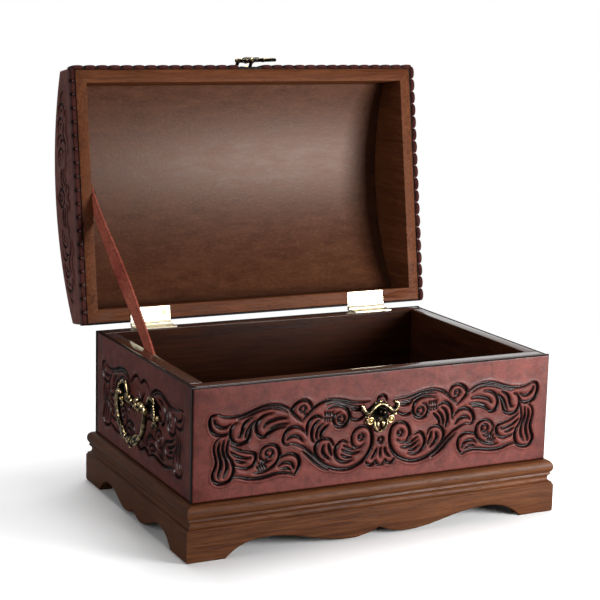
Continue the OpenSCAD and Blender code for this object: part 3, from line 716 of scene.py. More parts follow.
# How far the sides' half ornaments are moved in towards the handle, in mm
SIDE_SHIFT = 46.5
SIDE_MIDDLE = [
    (1.7, [(17.8, 15.8), (13, 20.4), (6, 22.6), (0, 19.5), (-6, 22.6), (-13, 20.4), (-17.8, 15.8)]),
    (1.7, [(14.9, -26), (8, -22.4), (0, -25.6), (-8, -22.4), (-14.9, -26)]),
    (1.5, [(-6, 14), (0, 8), (6, 14)]),
    (1.5, [(-6, -18), (0, -13), (6, -18)]),
]


def short_ornament(half_length, half_height):
    """The sides repeat the outer half of the front's ornament on both sides of the handle."""
    tooling = Tooling((-half_length, -half_height), (half_length, half_height))
    for side in (-1, 1):
        draw_half(tooling, OUTER_STROKES[2:], OUTER_RINGS[1:], OUTER_HATCHES, 0.0, side, SIDE_SHIFT)
    draw(tooling, SIDE_MIDDLE)
    return tooling


def case_panel(wall, origin, u_axis, half_length, half_height, tooling, thickness):
    """A wall's tooled leather, with dark dye along its edges and painted shade a little towards both ends."""
    columns = spread(-half_length, half_length, pitch=0.5)
    rows = spread(-half_height, half_height, pitch=0.5)
    u, v = np.meshgrid(columns, rows, indexing="ij")
    height, ink = tooling.shape(u, v)
    edge = np.minimum(half_length - abs(u), half_height - abs(v))
    height = height - edge_fall(edge, radius=1.3)
    ink = dyed_edge(ink, edge, strength=0.85, reach=1.5)
    # Painted shade that darkens the leather towards both ends of the wall.
    end_shade = 0.2 * (1 - (half_length - abs(u)) / 20)
    ink = np.where(ink < 0, ink, np.maximum(ink, end_shade))
    place = flat(origin, u_axis, Z)
    name = f"case_{wall}_tooled"
    leather_sheet(name, f"case_{wall}_leather", "case", columns, rows, place, height, ink, thickness)


def build_case_leather():
    low, high = box_mm("case_front_leather")
    left_low = box_mm("case_left_leather")[0]
    right_low, right_high = box_mm("case_right_leather")
    back_high = box_mm("case_back_leather")[1]
    middle_z = (low[2] + high[2]) / 2
    half_z = (high[2] - low[2]) / 2
    half_x = (high[0] - low[0]) / 2
    half_y = (right_high[1] - right_low[1]) / 2
    thickness = high[1] - low[1]
    front = long_ornament(half_x, half_z, centre=1.5)
    back = long_ornament(half_x, half_z)
    side = short_ornament(half_y, half_z)
    case_panel("front", (0, low[1], middle_z), X, half_x, half_z, front, thickness)
    case_panel("back", (0, back_high[1], middle_z), -X, half_x, half_z, back, thickness)
    case_panel("left", (left_low[0], 0, middle_z), -Y, half_y, half_z, side, thickness)
    case_panel("right", (right_high[0], 0, middle_z), Y, half_y, half_z, side, thickness)


# ---- lid leather ----

# Radius of the dome's leather, and how far from the dome's middle line each slope's ornament sits, in mm
DOME_R = 176.0
TOP_ROW_OFFSET = 46.0
LID_LEATHER = 1.8
END_STROKES = [
    # half of the end's garland: distance from the middle, height above the lid's foot
    (1.6, [(0, 44.5), (3.4, 40), (6.6, 36.4), (4.6, 32), (0, 28.6)]),
    (1.2, [(0, 40.6), (2.2, 36.6), (0, 33)]),
    (1.5, [(6.8, 31.5), (11, 34.5), (16, 35.2), (20.5, 32.6)]),
    (1.5, [(8.5, 27.5), (13, 30.8), (17.5, 31), (21, 28)]),
    (1.3, [(4, 25.5), (9.5, 24.6), (15, 25.8), (20, 24.6), (24.5, 21.6)]),
    (1.6, [(22.5, 35.8), (26.4, 38.4), (31, 38.2), (34.6, 35), (35, 30.6), (31.6, 27.6), (27.6, 28.8)]),
    (1.4, [(26.4, 33.4), (29.8, 34.6), (32, 32)]),
    (1.5, [(37, 38.6), (41.8, 37.4), (44.6, 33.4), (43.6, 28.8)]),
    (1.5, [(38.6, 33), (40.8, 29.6), (40, 25.6)]),
    (1.6, [(24.5, 23.6), (30.5, 21.2), (37, 21.8), (42.6, 24.8), (48, 25.4), (53.4, 22.4)]),
    (1.5, [(47, 36), (51.6, 36.2), (55.6, 33), (56.6, 28.4), (54, 25)]),
    (1.4, [(49, 31.8), (52.2, 30.6), (52.6, 27.6)]),
    (1.6, [(58.6, 33.4), (63.4, 32.4), (66.4, 28.6), (65.8, 23.8), (61.6, 20.4), (57, 21)]),
    (1.4, [(60.6, 28.8), (62.6, 25.8)]),
    (1.4, [(67.8, 28.6), (72.4, 26), (75, 21.4)]),
    (1.3, [(30, 17.4), (38, 16.4), (46, 19.4), (54, 17.4), (62, 16.6)]),
]
END_MIDDLE = [(1.4, [(-9, 21.4), (-4.4, 18.6), (0, 22.4), (4.4, 18.6), (9, 21.4)])]


def dome_height(y, middle, foot, crown):
    """Height of the dome's leather above the lid's foot, at y, in the closed lid's frame."""
    return crown - foot - DOME_R + np.sqrt(DOME_R**2 - (y - middle) ** 2)


def lid_sizes():
    """The closed lid's depth range, foot, crown, and its middle line, in mm."""
    low, high = closed_box("lid_left_leather")
    wood_low, wood_high = closed_box("lid_top_panel")
    return low[1], high[1], low[2], high[2], (wood_low[1] + wood_high[1]) / 2


def lid_end_panel(side):
    """A D-shaped end, its grid warped so that the last row follows the dome."""
    end = "lid_left" if side < 0 else "lid_right"
    low, high = closed_box(end + "_leather")
    front, back, foot, crown, middle = lid_sizes()
    centre = (front + back) / 2
    half = (back - front) / 2
    tooling = Tooling((-half, 0), (half, crown - foot))
    for turn in (-1, 1):
        draw(tooling, END_STROKES, lambda a, h: (turn * a, h), gain=1.1, taper=STROKE_TAPER)
    draw(tooling, END_MIDDLE)
    columns = spread(-half, half, pitch=0.55)
    rows = spread(0.0, 1.0, pitch=1 / 92, rim=0.028)
    u, v = np.meshgrid(columns, rows, indexing="ij")
    top = dome_height(centre + side * u, middle, foot, crown)
    height, ink = tooling.shape(u, v * top, depth=0.8, shoulder=0.5, swell=0.2)
    edge = np.minimum(half - abs(u), (1 - v) * top)
    height = height - edge_fall(edge, radius=1.8)
    ink = dyed_edge(ink, edge, strength=0.35, reach=1.6)
    x_face = low[0] if side < 0 else high[0]

    def place(u, v, h):
        y = centre + side * u
        z = foot + v * dome_height(y, middle, foot, crown)
        return moved(MM * np.stack([x_face + side * h, y, z], -1), OPEN_LID)

    thickness = high[0] - low[0]
    leather_sheet(end + "_tooled", end + "_leather", "lid", columns, rows, place, height, ink, thickness)


def lid_top_panel():
    """The dome's leather, with an ornament on each slope."""
    low, high = closed_box("lid_top_leather")
    front, back, foot, crown, middle = lid_sizes()
    half_x = high[0]
    first, last = (DOME_R * math.asin((y - middle) / DOME_R) for y in (low[1], high[1]))
    tooling = Tooling((-half_x, first), (half_x, last))
    for row in (-1, 1):
        for side in (-1, 1):
            draw(tooling, ALL_STROKES, lambda a, h: (side * a, row * (TOP_ROW_OFFSET - h)))
            for a, h, radius, width in ALL_RINGS:
                tooling.ring(side * a, row * (TOP_ROW_OFFSET - h), radius, width)
        draw(tooling, MIDDLE_STROKES, lambda a, h: (a, row * (TOP_ROW_OFFSET - h)))
    columns = spread(-half_x, half_x, pitch=0.75)
    rows = spread(first, last, pitch=0.75)
    u, v = np.meshgrid(columns, rows, indexing="ij")
    height, ink = tooling.shape(u, v, depth=0.8, shoulder=0.4, swell=0.4)
    edge = np.minimum(half_x - abs(u), np.minimum(v - first, last - v))
    height = height - edge_fall(edge, radius=0.9)
    ink = dyed_edge(ink, edge, strength=0.7, reach=1.6)

    def place(u, v, h):
        angle = v / DOME_R
        radius = DOME_R + h
        y = middle + radius * np.sin(angle)
        z = crown - DOME_R + radius * np.cos(angle)
        return moved(MM * np.stack([u, y, z], -1), OPEN_LID)

    leather_sheet("lid_top_tooled", "lid_top_leather", "lid", columns, rows, place, height, ink, LID_LEATHER)


def lid_strip(side, name):
    """The plain leather on the lid's front or back, with one line tooled along its top."""
    node = f"lid_{name}_leather"
    low, high = closed_box(node)
    half_x = high[0]
    rise = high[2] - low[2]
    tooling = Tooling((-half_x, 0), (half_x, rise))
    line = rise - 5.0
    tooling.stroke([(-half_x + 4, line), (0, line), (half_x - 4, line)], width=1.3, taper=0.9)
    columns = spread(-half_x, half_x, pitch=1.4)
    rows = spread(0.0, rise, pitch=0.7)
    u, v = np.meshgrid(columns, rows, indexing="ij")
    height, ink = tooling.shape(u, v, depth=0.5, shoulder=0.2, swell=0.0)
    edge = np.minimum(half_x - abs(u), np.minimum(v, rise - v))
    ink = dyed_edge(ink, edge, strength=0.7, reach=1.4)
    y_face = low[1] if side < 0 else high[1]

    def place(u, v, h):
        return moved(MM * np.stack([-side * u, y_face + side * h, low[2] + v], -1), OPEN_LID)

    leather_sheet(f"lid_{name}_strip", node, "lid", columns, rows, place, height, ink, high[1] - low[1])


# The scalloped trim's tongues: pitch, how far they stand out and hang down, and depth of the notches, in mm
LOBE_PITCH = 9.4
LOBE_OUT = 1.5
LOBE_DROP = 1.4
LOBE_NOTCH = 1.5


def lobe_row(length, rise, start, along, out):
    """A row of rounded tongues that hang just below the lid's foot, with painted shade in the notches between
    them.

    start is a corner in mm in the closed lid's frame, along and out are directions.
    """
    count = round(length / LOBE_PITCH)
    pitch = length / count
    columns = np.linspace(0, length, count * 20 + 1)
    rows = np.array([0, 0.02, 0.06, 0.12, 0.2, 0.28, 0.37, 0.46, 0.56, 0.66, 0.76, 0.85, 0.93, 1.0])
    u, t = np.meshgrid(columns, rows, indexing="ij")
    off = abs((u / pitch) % 1 - 0.5) * 2
    rounded = np.sqrt(np.clip(1 - off**2.2, 0, 1))
    foot = LOBE_NOTCH - (LOBE_NOTCH + LOBE_DROP) * rounded
    foot_round = np.sqrt(np.clip(1 - (1 - np.clip(t / 0.16, 0, 1)) ** 2, 0, 1))
    fade = np.clip(1 - t, 0, 1) ** 0.8
    bulge = rounded + (1 - rounded) * eased(t / 0.75)
    height = 0.25 + fade * (LOBE_OUT - 0.25) * (0.2 + 0.8 * bulge) * (0.35 + 0.65 * foot_round)
    # Painted shade in the notches between the tongues.
    ink = np.clip(1.5 * (1 - bulge), 0, 1)
    ink = np.maximum(ink, 0.3 * eased((0.16 - t) / 0.12))
    start, along, out = (np.array(value, float) for value in (start, along, out))

    def place(u, t, h):
        drop = np.interp(u, columns, foot[:, 0])
        v = drop + t * (rise - drop)
        p = start + u[..., None] * along + v[..., None] * Z + h[..., None] * out
        return moved(MM * p, OPEN_LID)

    points, faces, ring = slab(columns, rows, place, height, LID_LEATHER - 0.15)
    return points, faces, np.concatenate([ink.ravel(), np.full(ring, 0.4)])


def joined(parts):
    """Several (points, faces, values) in one."""
    points, faces, values, start = [], [], [], 0
    for part_points, part_faces, part_values in parts:
        points.append(part_points)
        values.append(part_values)
        faces += [[i + start for i in face] for face in part_faces]
        start += len(part_points)
    return np.vstack(points), faces, np.concatenate(values)


def lid_trim(name, node, rows):
    points, faces, ink = joined(rows)
    return new_piece(name, points, faces, "trim_leather", "lid", "trim_leather", (node,), ink=ink)


def build_lid_leather():
    for side in (-1, 1):
        lid_end_panel(side)
    lid_top_panel()
    lid_strip(-1, "front")
    lid_strip(1, "back")
    front_low, front_high = closed_box("lid_front_trim")
    left_low, left_high = closed_box("lid_left_trim")
    face_y = front_high[1]
    outer_x = front_high[0]
    rise = front_high[2] - front_low[2]
    hasp_gap = box_mm("hasp_plate")[1][0] + 1.6
    run = outer_x - hasp_gap
    lid_trim("lid_front_lobes", "lid_front_trim", [
        lobe_row(run, rise, (start, face_y, front_low[2]), X, -Y) for start in (-outer_x, hasp_gap)
    ])
    depth = left_high[1] - left_low[1]
    left = lobe_row(depth, rise, (-outer_x, left_high[1], left_low[2]), -Y, -X)
    lid_trim("lid_left_lobes", "lid_left_trim", [left])
    right = lobe_row(depth, rise, (outer_x, left_low[1], left_low[2]), Y, X)
    lid_trim("lid_right_lobes", "lid_right_trim", [right])


# ---- wood ----


def to_round(edge, radius):
    """Whether a solid's edge is sharp, long enough for the radius, and not a mitred one."""
    if len(edge.link_faces) != 2 or edge.calc_length() <= 3 * radius * MM:
        return False
    mitred = any(0.3 < abs(face.normal.x) < 0.95 for face in edge.link_faces)
    return edge.calc_face_angle() > math.radians(32) and not mitred


def eased_solid(node, radius, material):
    """A copy of a CAD solid with its edges rounded, except the mitred ones, in place of that solid."""
    shape = bmesh.new()
    shape.from_mesh(frame["nodes"][node].data)
    bmesh.ops.remove_doubles(shape, verts=shape.verts, dist=1e-6)
    bmesh.ops.dissolve_limit(shape, angle_limit=math.radians(1.5), verts=shape.verts, edges=shape.edges)
    sharp = [edge for edge in shape.edges if to_round(edge, radius)]
    bmesh.ops.bevel(shape, geom=sharp, offset=radius * MM, offset_type="OFFSET", segments=3, profile=0.5,
                    affect="EDGES", clamp_overlap=True)
    mesh = bpy.data.meshes.new(node + "_eased")
    shape.to_mesh(mesh)
    shape.free()
    mesh.polygons.foreach_set("use_smooth", [True] * len(mesh.polygons))
    mesh.set_sharp_from_angle(angle=math.radians(34))
    link_piece(node + "_eased", mesh, material, BODY_OF[node], (node,))


def apron_height(x, lobe, peak, foot):
    """Height of the apron's lower edge: a cusp in the middle, a lobe, a long rise and an arch by the foot."""
    cusp, low, high = 6.2, 1.4, 10.3
    a = abs(x)
    if a < lobe:
        return low + (cusp - low) * (1 - a / lobe) ** 1.8
    if a < peak:
        return low + (high - low) * (1 - math.cos(math.pi * (a - lobe) / (peak - lobe))) / 2
    if a < foot:
        return high * (1 - ((a - peak) / (foot - peak)) ** 2.6)
    return 0.0


# How far the base's apron stands out from the case, in mm
APRON_OUT = 4.8
# Where the apron's lobe, highest point and foot begin, from the rail's middle, in mm
LONG_APRON = (20, 80, 108.5)
SHORT_APRON = (13, 45, 66)


def rail_outline(top, edge_z):
    """Section of a base rail as (out, z) points: bead, cove, fillet, apron down to edge_z, inner ledge."""
    out = APRON_OUT
    outline = []
    for a in np.radians(np.arange(0, 141, 7)):
        outline.append((4.4 * math.sin(a), top - 5 + 4.9 * math.cos(a)))
    for a in np.radians(np.arange(110, 251, 10)):
        outline.append((4.2 + 2.6 * math.cos(a), top - 12.6 + 2.6 * math.sin(a)))
    fillet = out - 0.8
    outline += [(fillet - 0.15, top - 15.2), (fillet, top - 15.4), (fillet, top - 16.2)]
    outline += [(fillet + 0.2, top - 16.5), (out - 0.2, top - 16.8), (out, top - 17.1)]
    bend = 1.3
    for a in np.radians(np.arange(0, 91, 18)):
        outline.append((out - bend + bend * math.cos(a), edge_z + bend - bend * math.sin(a)))
    outline += [(out - 9.6, edge_z), (out - 10, edge_z + 0.4), (out - 10, top - 12.6), (-17, top - 12.6)]
    outline += [(-17, top - 0.1), (-0.6, top - 0.1)]
    return outline


def base_rail(node, origin, along, length, apron, material):
    """One mitred rail. origin is the middle of the case's face in mm; along runs left to right."""
    lobe, peak, foot = apron
    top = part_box(node)[1][2] / MM + 0.1
    out = np.cross(along, Z)
    half = length / 2
    middle = np.linspace(-foot, foot, 181)
    stations = np.concatenate([np.linspace(-half, -foot, 4)[:-1], middle, np.linspace(foot, half, 4)[1:]])
    points = []
    for x in stations:
        outline = rail_outline(top, apron_height(x, lobe, peak, foot))
        share = max(0.0, (abs(x) - foot) / (half - foot))
        mitre = share * (1 if x > 0 else -1)
        for o, z in outline:
            points.append(origin + along * (x + mitre * o) + out * o + Z * z)
    faces = skinned(len(stations), len(outline))
    piece = new_piece(node + "_moulded", MM * np.array(points), faces, material, "case", "base_wood", (node,))
    piece.data.set_sharp_from_angle(angle=math.radians(32))


def build_wood():
    low = box_mm("case_front_leather")[0]
    back = box_mm("case_back_leather")[1][1]
    left, right = box_mm("case_left_leather")[0][0], box_mm("case_right_leather")[1][0]
    wide, deep = right - left, back - low[1]
    base_rail("base_front_rail", np.array((0, low[1], 0)), X, wide, LONG_APRON, "base_X")
    base_rail("base_back_rail", np.array((0, back, 0)), -X, wide, LONG_APRON, "base_X")
    base_rail("base_left_rail", np.array((left, 0, 0)), -Y, deep, SHORT_APRON, "base_Y")
    base_rail("base_right_rail", np.array((right, 0, 0)), Y, deep, SHORT_APRON, "base_Y")
    for node, grain in (("front_wall", "X"), ("back_wall", "X"), ("left_wall", "Y"), ("right_wall", "Y")):
        eased_solid("case_" + node, 0.7, "case_" + grain)
    for node, grain in (("front_rail", "X"), ("back_rail", "X"), ("left_end", "Y"), ("right_end", "Y")):
        eased_solid("lid_" + node, 0.35, "lid_" + grain)


# ---- strap ----

# Twist in degrees, width and thickness in mm
STRAP_TWIST = 15.0
STRAP_WIDE = 11.4
STRAP_THICK = 2.4
# How far it runs on past each tack, how far it lies on the wall, and its clearance at the lid's board, in mm
STRAP_TAIL = 5.0
STRAP_LYING = 18.0
STRAP_GAP = 0.3


def strap_section():
    """The strap's rounded cross-section as (wide, thick) points."""
    section = []
    for a in np.linspace(0, 2 * np.pi, 28, endpoint=False):
        c, t = math.cos(a), math.sin(a)
        wide = 0.5 * STRAP_WIDE * math.copysign(abs(c) ** 0.35, c)
        section.append((wide, 0.5 * STRAP_THICK * math.copysign(abs(t) ** 0.55, t)))
    return section


def strap_ink(wide, close):
    """Dye along the strap's edges and on its cut ends, with painted shade that makes its lower edge darker."""
    rim = float(eased((abs(wide) / (0.5 * STRAP_WIDE) - 0.8) / 0.13))
    return (0.85 if wide < 0 else 0.3) * rim + (0.5 if close < 0.9 else 0.0)


def build_strap():
    """The leather stay: flat on the case's wall, then straight up and outwards to the lid's end board."""
    case_tack, lid_tack = box_mm("strap_case_tack"), box_mm("strap_lid_tack")
    wall_face = box_mm("case_left_wall")[1][0]
    board_face = closed_box("lid_left_end")[1][0]
    start = np.array([wall_face, *(sum(case_tack)[1:] / 2)])
    end = np.array([board_face, *(sum(lid_tack)[1:] / 2)])
    along = (end - start) * (0, 1, 1)
    run = np.linalg.norm(along)
    along /= run
    across = np.cross(X, along)
    shift = (end - start)[0] - STRAP_GAP
    section = strap_section()
    first, last = -STRAP_TAIL, run + STRAP_TAIL
    cut = np.array([0, 0.25, 0.8])
    stations = np.concatenate([first + cut, np.linspace(first + 1.5, last - 1.5, 120), last - cut[::-1]])
    points, ink = [], []
    for s in stations:
        straight = np.clip((s - STRAP_LYING) / (run - STRAP_TAIL - STRAP_LYING), 0, 1)
        sideways = shift * (0.75 * straight + 0.25 * float(eased(straight)))
        slack = 0.5 * math.sin(2 * math.pi * straight) * straight * (1 - straight)
        centre = start + along * s + X * (sideways + STRAP_THICK / 2) + across * slack
        close = min(s - first, last - s)
        shrink = 1.0 if close > 1.2 else 0.72 + 0.28 * math.sqrt(max(0.0, 1 - (1 - close / 1.2) ** 2))
        twist = math.radians(STRAP_TWIST) * math.sin(math.pi * min(1.0, straight * 1.1)) ** 2
        wide_way = across * math.cos(twist) + X * math.sin(twist)
        thick_way = X * math.cos(twist) - across * math.sin(twist)
        for wide, thick in section:
            points.append(centre + wide_way * wide * shrink + thick_way * thick * shrink)
            ink.append(strap_ink(wide, close))
    faces = turned_over(skinned(len(stations), len(section)))
    strap = new_piece("strap_ribbon", MM * np.array(points), faces, "strap_leather", None, "strap_leather",
                      ("lid_strap",), ink=np.clip(ink, 0, 1))
    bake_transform(strap)


# ---- cast brass ----


TUBE_SIDES = 10


def tube(shape, path, radii):
    """Adds a round bar along a smooth curve. radii are spread evenly along it; the ends are rounded."""
    line = curve_through(path, step=0.6)
    angles = np.linspace(0, 2 * np.pi, TUBE_SIDES, endpoint=False)
    radius = np.interp(np.linspace(0, 1, len(line)), np.linspace(0, 1, len(radii)), radii)
    ahead = np.gradient(line, axis=0)
    rings = []
    side = np.array((0.0, 0.0, 1.0))
    if abs(ahead[0] @ side) > 0.9 * np.linalg.norm(ahead[0]):
        side = np.array((1.0, 0.0, 0.0))
    for i, (point, direction) in enumerate(zip(line, ahead)):
        direction = direction / np.linalg.norm(direction)
        side = side - direction * (side @ direction)
        side /= np.linalg.norm(side)
        other = np.cross(direction, side)
        bulges = [(0.0, 1.0)]
        if i == 0:
            bulges = [(-0.85, 0.5), (-0.5, 0.87), (0.0, 1.0)]
        elif i == len(line) - 1:
            bulges = [(0.0, 1.0), (0.5, 0.87), (0.85, 0.5)]
        for shift, share in bulges:
            centre = point + direction * radius[i] * shift
            r = radius[i] * share
            ring = [centre + r * (math.cos(a) * side + math.sin(a) * other) for a in angles]
            rings.append([shape.verts.new(point) for point in ring])
    for low, high in zip(rings, rings[1:]):
        for k in range(TUBE_SIDES):
            after = (k + 1) % TUBE_SIDES
            shape.faces.new((low[k], low[after], high[after], high[k]))
    shape.faces.new(rings[0][::-1])
    shape.faces.new(rings[-1])


def bead(shape, centre, size):
    """Adds a ball or, with three sizes, an ellipsoid."""
    size = np.ones(3) * size
    scale = Matrix.Translation(Vector(centre)) @ Matrix.Diagonal((*size, 1.0))
    bmesh.ops.create_uvsphere(shape, u_segments=14, v_segments=9, radius=1.0, matrix=scale)


def hoop(shape, x, y, z, radius, thickness):
    """Adds a ring that lies parallel to the wall."""
    angles = np.linspace(0, 2 * np.pi, 17)
    circle = [(x + radius * math.cos(a), y + radius * math.sin(a), z) for a in angles]
    tube(shape, circle, [thickness, thickness])


def bars(shape, path, radii):
    """Adds a bar and its mirror image."""
    for s in (-1, 1):
        tube(shape, [(s * x, y, z) for x, y, z in path], radii)


def beads(shape, centre, size):
    """Adds a bead and its mirror image."""
    x, y, z = centre
    for s in (-1, 1):
        bead(shape, (s * x, y, z), size)


def cast(name, shape, place, body, node, material="antique_brass", voxel=0.34, low=None):
    """Melts the bars and beads of a shape, drawn in mm as (across, up, out), into one piece of cast metal.

    Each piece gets an attribute that is high on what stands proud of its surroundings and low in the hollows, with
    a painted highlight added on faces that turn upwards. low is the face that the casting lies on, where it has
    one.
    """
    mesh = bpy.data.meshes.new(name + "_core")
    shape.to_mesh(mesh)
    shape.free()
    core = bpy.data.objects.new(name + "_core", mesh)
    bpy.context.scene.collection.objects.link(core)
    remesh = core.modifiers.new("melt", "REMESH")
    remesh.mode = "VOXEL"
    remesh.voxel_size = voxel
    smooth = core.modifiers.new("polish", "SMOOTH")
    smooth.factor, smooth.iterations = 0.5, 3
    made = bpy.data.meshes.new_from_object(core.evaluated_get(bpy.context.evaluated_depsgraph_get()))
    bpy.data.objects.remove(core)
    points = np.array([v.co for v in made.vertices])
    faces = [list(f.vertices) for f in made.polygons]
    if low is not None:
        points[:, 2] = np.maximum(points[:, 2], low)
    normals = np.array([v.normal for v in made.vertices])
    edges = np.array([e.vertices for e in made.edges])
    blurred = points.copy()
    count = np.bincount(edges.ravel(), minlength=len(points))[:, None]
    for _ in range(14):
        total = np.zeros_like(blurred)
        np.add.at(total, edges[:, 0], blurred[edges[:, 1]])
        np.add.at(total, edges[:, 1], blurred[edges[:, 0]])
        blurred = 0.5 * blurred + 0.5 * total / np.maximum(count, 1)
    proud = ((points - blurred) * normals).sum(1)
    # Patina in the hollows and rubbed high spots, with a painted highlight on faces that turn upwards.
    lit_from_above = np.clip(normals[:, 2], 0, 1)
    wear = np.clip(0.3 + proud / 0.42, 0, 1) * (0.6 + 0.4 * lit_from_above)
    bpy.data.meshes.remove(made)
    return new_piece(name, place(points), faces, material, body, "antique_brass", (node,), wear=wear)


def wall_place(origin, across, up=Z):
    """Maps cast shapes onto a wall: origin in mm, across and up along the wall, and out away from it."""
    out = np.cross(across, up)
    return lambda p: MM * (np.array(origin, float) + p[:, :1] * across + p[:, 1:2] * up + p[:, 2:] * out)


# A handle's posts: distance from its middle, and from the leather to the bail's axis, in mm
POST_X = 21.0
POST_OUT = 6.6
# From the hasp's axis to the lid's leather, in mm
HASP_OUT = 5.2
# How far the hasp's arm leans in towards the case with the lid closed, in degrees
HASP_LEAN = 5.0


def handle_plate_shape():
    """Two arched shields joined by a bar with a flower in its middle."""
    shape = bmesh.new()
    arch = [(18.2, -4.5), (18.6, 0), (21, 4.6), (25.4, 5.6), (29.6, 3.9), (32, -0.4), (32.6, -5),
            (31.4, -9), (28.6, -11.4), (26.4, -10)]
    bars(shape, [(x, z, 1.8) for x, z in arch], [1.3, 1.4, 1.5, 1.45, 1.3, 1.2, 1.2, 1.3, 1.3, 0.9])
    for i in range(6):
        t = i / 5
        beads(shape, (31.2 + 1.9 * math.sin(2.2 * t), 2.2 - 8.6 * t, 2.9), 1.05)
    beads(shape, (36.3, -4.6, 1.6), 2.0)
    bars(shape, [(32, -4.6, 1.4), (35, -4.6, 1.4)], [1.1, 1.1])
    beads(shape, (30.6, -10.2, 1.3), (2.9, 2.3, 1.6))
    beads(shape, (25.6, -2.2, 0.4), (7.0, 7.2, 0.9))
    bars(shape, [(18.2, -4.5, 1.6), (15.6, -6.4, 1.8), (12.6, -5.6, 1.8)], [1.2, 1.3, 0.9])
    beads(shape, (14.4, -2.9, 1.7), 1.6)
    beads(shape, (11.4, -4.6, 1.7), 1.35)
    bars(shape, [(12, -5.4, 1.1), (8, -7.2, 1.2), (4.6, -6.0, 1.4), (2, -4.6, 1.4)], [1.2, 1.3, 1.5, 1.2])
    bars(shape, [(9, -4.2, 1.0), (6, -2.6, 1.3), (3.4, -2.4, 1.4)], [0.7, 1.0, 0.9])
    bars(shape, [(POST_X, 0, 0.2), (POST_X, 0, 2.2), (POST_X, 0, POST_OUT)], [2.2, 1.5, 1.5])
    beads(shape, (POST_X, 0, POST_OUT), 2.0)
    bead(shape, (0, -4.4, 2.4), 1.9)
    for x, z in ((-3.0, -3.4), (3.0, -3.4), (0, -1.3), (-2.1, -7.0), (2.1, -7.0)):
        bead(shape, (x, z, 1.7), (1.7, 1.6, 1.7))
    tube(shape, [(0, -7.6, 1.4), (0, -10.4, 0.9)], [1.4, 0.5])
    return shape


def bail_shape():
    """The swinging bow: pins in the posts, leaves along the bottom bar and a drop in the middle."""
    shape = bmesh.new()
    bars(shape, [(18.4, 0, 0), (21, 0, 0), (23.4, -0.1, 0)], [1.05, 1.05, 1.15])
    bow = [(23.4, -0.1), (24.6, -1.2), (25, -4.6), (24.6, -9.4), (22.8, -15), (19, -20.4), (12.6, -25),
           (5.6, -27.4), (0, -28)]
    bars(shape, [(x, z, 0) for x, z in bow], [1.3, 1.7, 1.95, 1.9, 1.9, 2.0, 2.1, 1.9, 2.1])
    beads(shape, (24.9, -6.2, 0), (1.5, 1.2, 1.5))
    leaf = [(16.6, -20.4, 0.6), (12.4, -22.2, 1.1), (8.6, -24.4, 1.0), (6.2, -26.8, 0.4)]
    bars(shape, leaf, [0.6, 1.3, 1.4, 0.8])
    bars(shape, [(16.8, -23.6, 0.5), (12.6, -27, 0.9), (8, -28.8, 0.7)], [0.6, 1.3, 0.9])
    beads(shape, (6.4, -27.2, 0.3), (1.0, 2.6, 2.3))
    beads(shape, (18.4, -21.2, 0), 2.0)
    beads(shape, (10.6, -25.6, 1.2), 1.5)
    bead(shape, (0, -27.8, 0.2), (3.9, 3.1, 2.9))
    bead(shape, (0, -31.2, 0), (1.4, 1.0, 1.4))
    bead(shape, (0, -32.5, 0), 1.05)
    return shape


def catch_shape():
    """A waved bar over two nail rings and a two-lobed leaf."""
    shape = bmesh.new()
    bar = [(-13, 4.4), (-12, 1.8), (-9.4, -0.2), (-6.4, 1.6), (-3.4, 3.9), (0, 5), (3.4, 3.9), (6.4, 1.6),
           (9.4, 0), (12, 1.4), (13, 4.2), (11.2, 5.6)]
    tube(shape, [(x, z, 0.5) for x, z in bar], [1.1, 1.8, 2.1, 2.0, 1.8, 1.7, 1.7, 1.8, 2.0, 1.8, 1.5, 1.1])
    # A low disc behind the knob, dark with patina, that also stands in as painted shade around the knob.
    bead(shape, (0, -0.6, 0.3), (6.4, 6.2, 0.9))
    for s in (-1, 1):
        hoop(shape, s * 7.4, -5.5, 1.1, 2.1, 0.8)
    leaf = [(4.8, -5.4, 0.7), (4.3, -9, 0.8), (2.4, -11.8, 0.8), (0.5, -13.6, 0.8)]
    bars(shape, leaf, [1.2, 1.5, 1.3, 0.5])
    beads(shape, (2.1, -8.4, 0.9), (1.5, 2.4, 1.3))
    bars(shape, [(9.4, 0, 1.0), (9.8, -2.4, 0.9), (8.8, -3.6, 0.9)], [1.0, 0.8, 0.7])
    beads(shape, (10.9, -2.6, 0.9), 0.85)
    beads(shape, (10.4, -6.4, 0.7), 0.7)
    beads(shape, (3.4, 5.6, 0.8), 0.8)
    bead(shape, (0, 6.6, 0.9), 1.0)
    return shape


def knob_shape():
    shape = bmesh.new()
    tube(shape, [(0, 0, -3.6), (0, 0, 1.4)], [1.6, 1.9])
    bead(shape, (0, 0, 3.5), (3.2, 3.2, 2.9))
    return shape


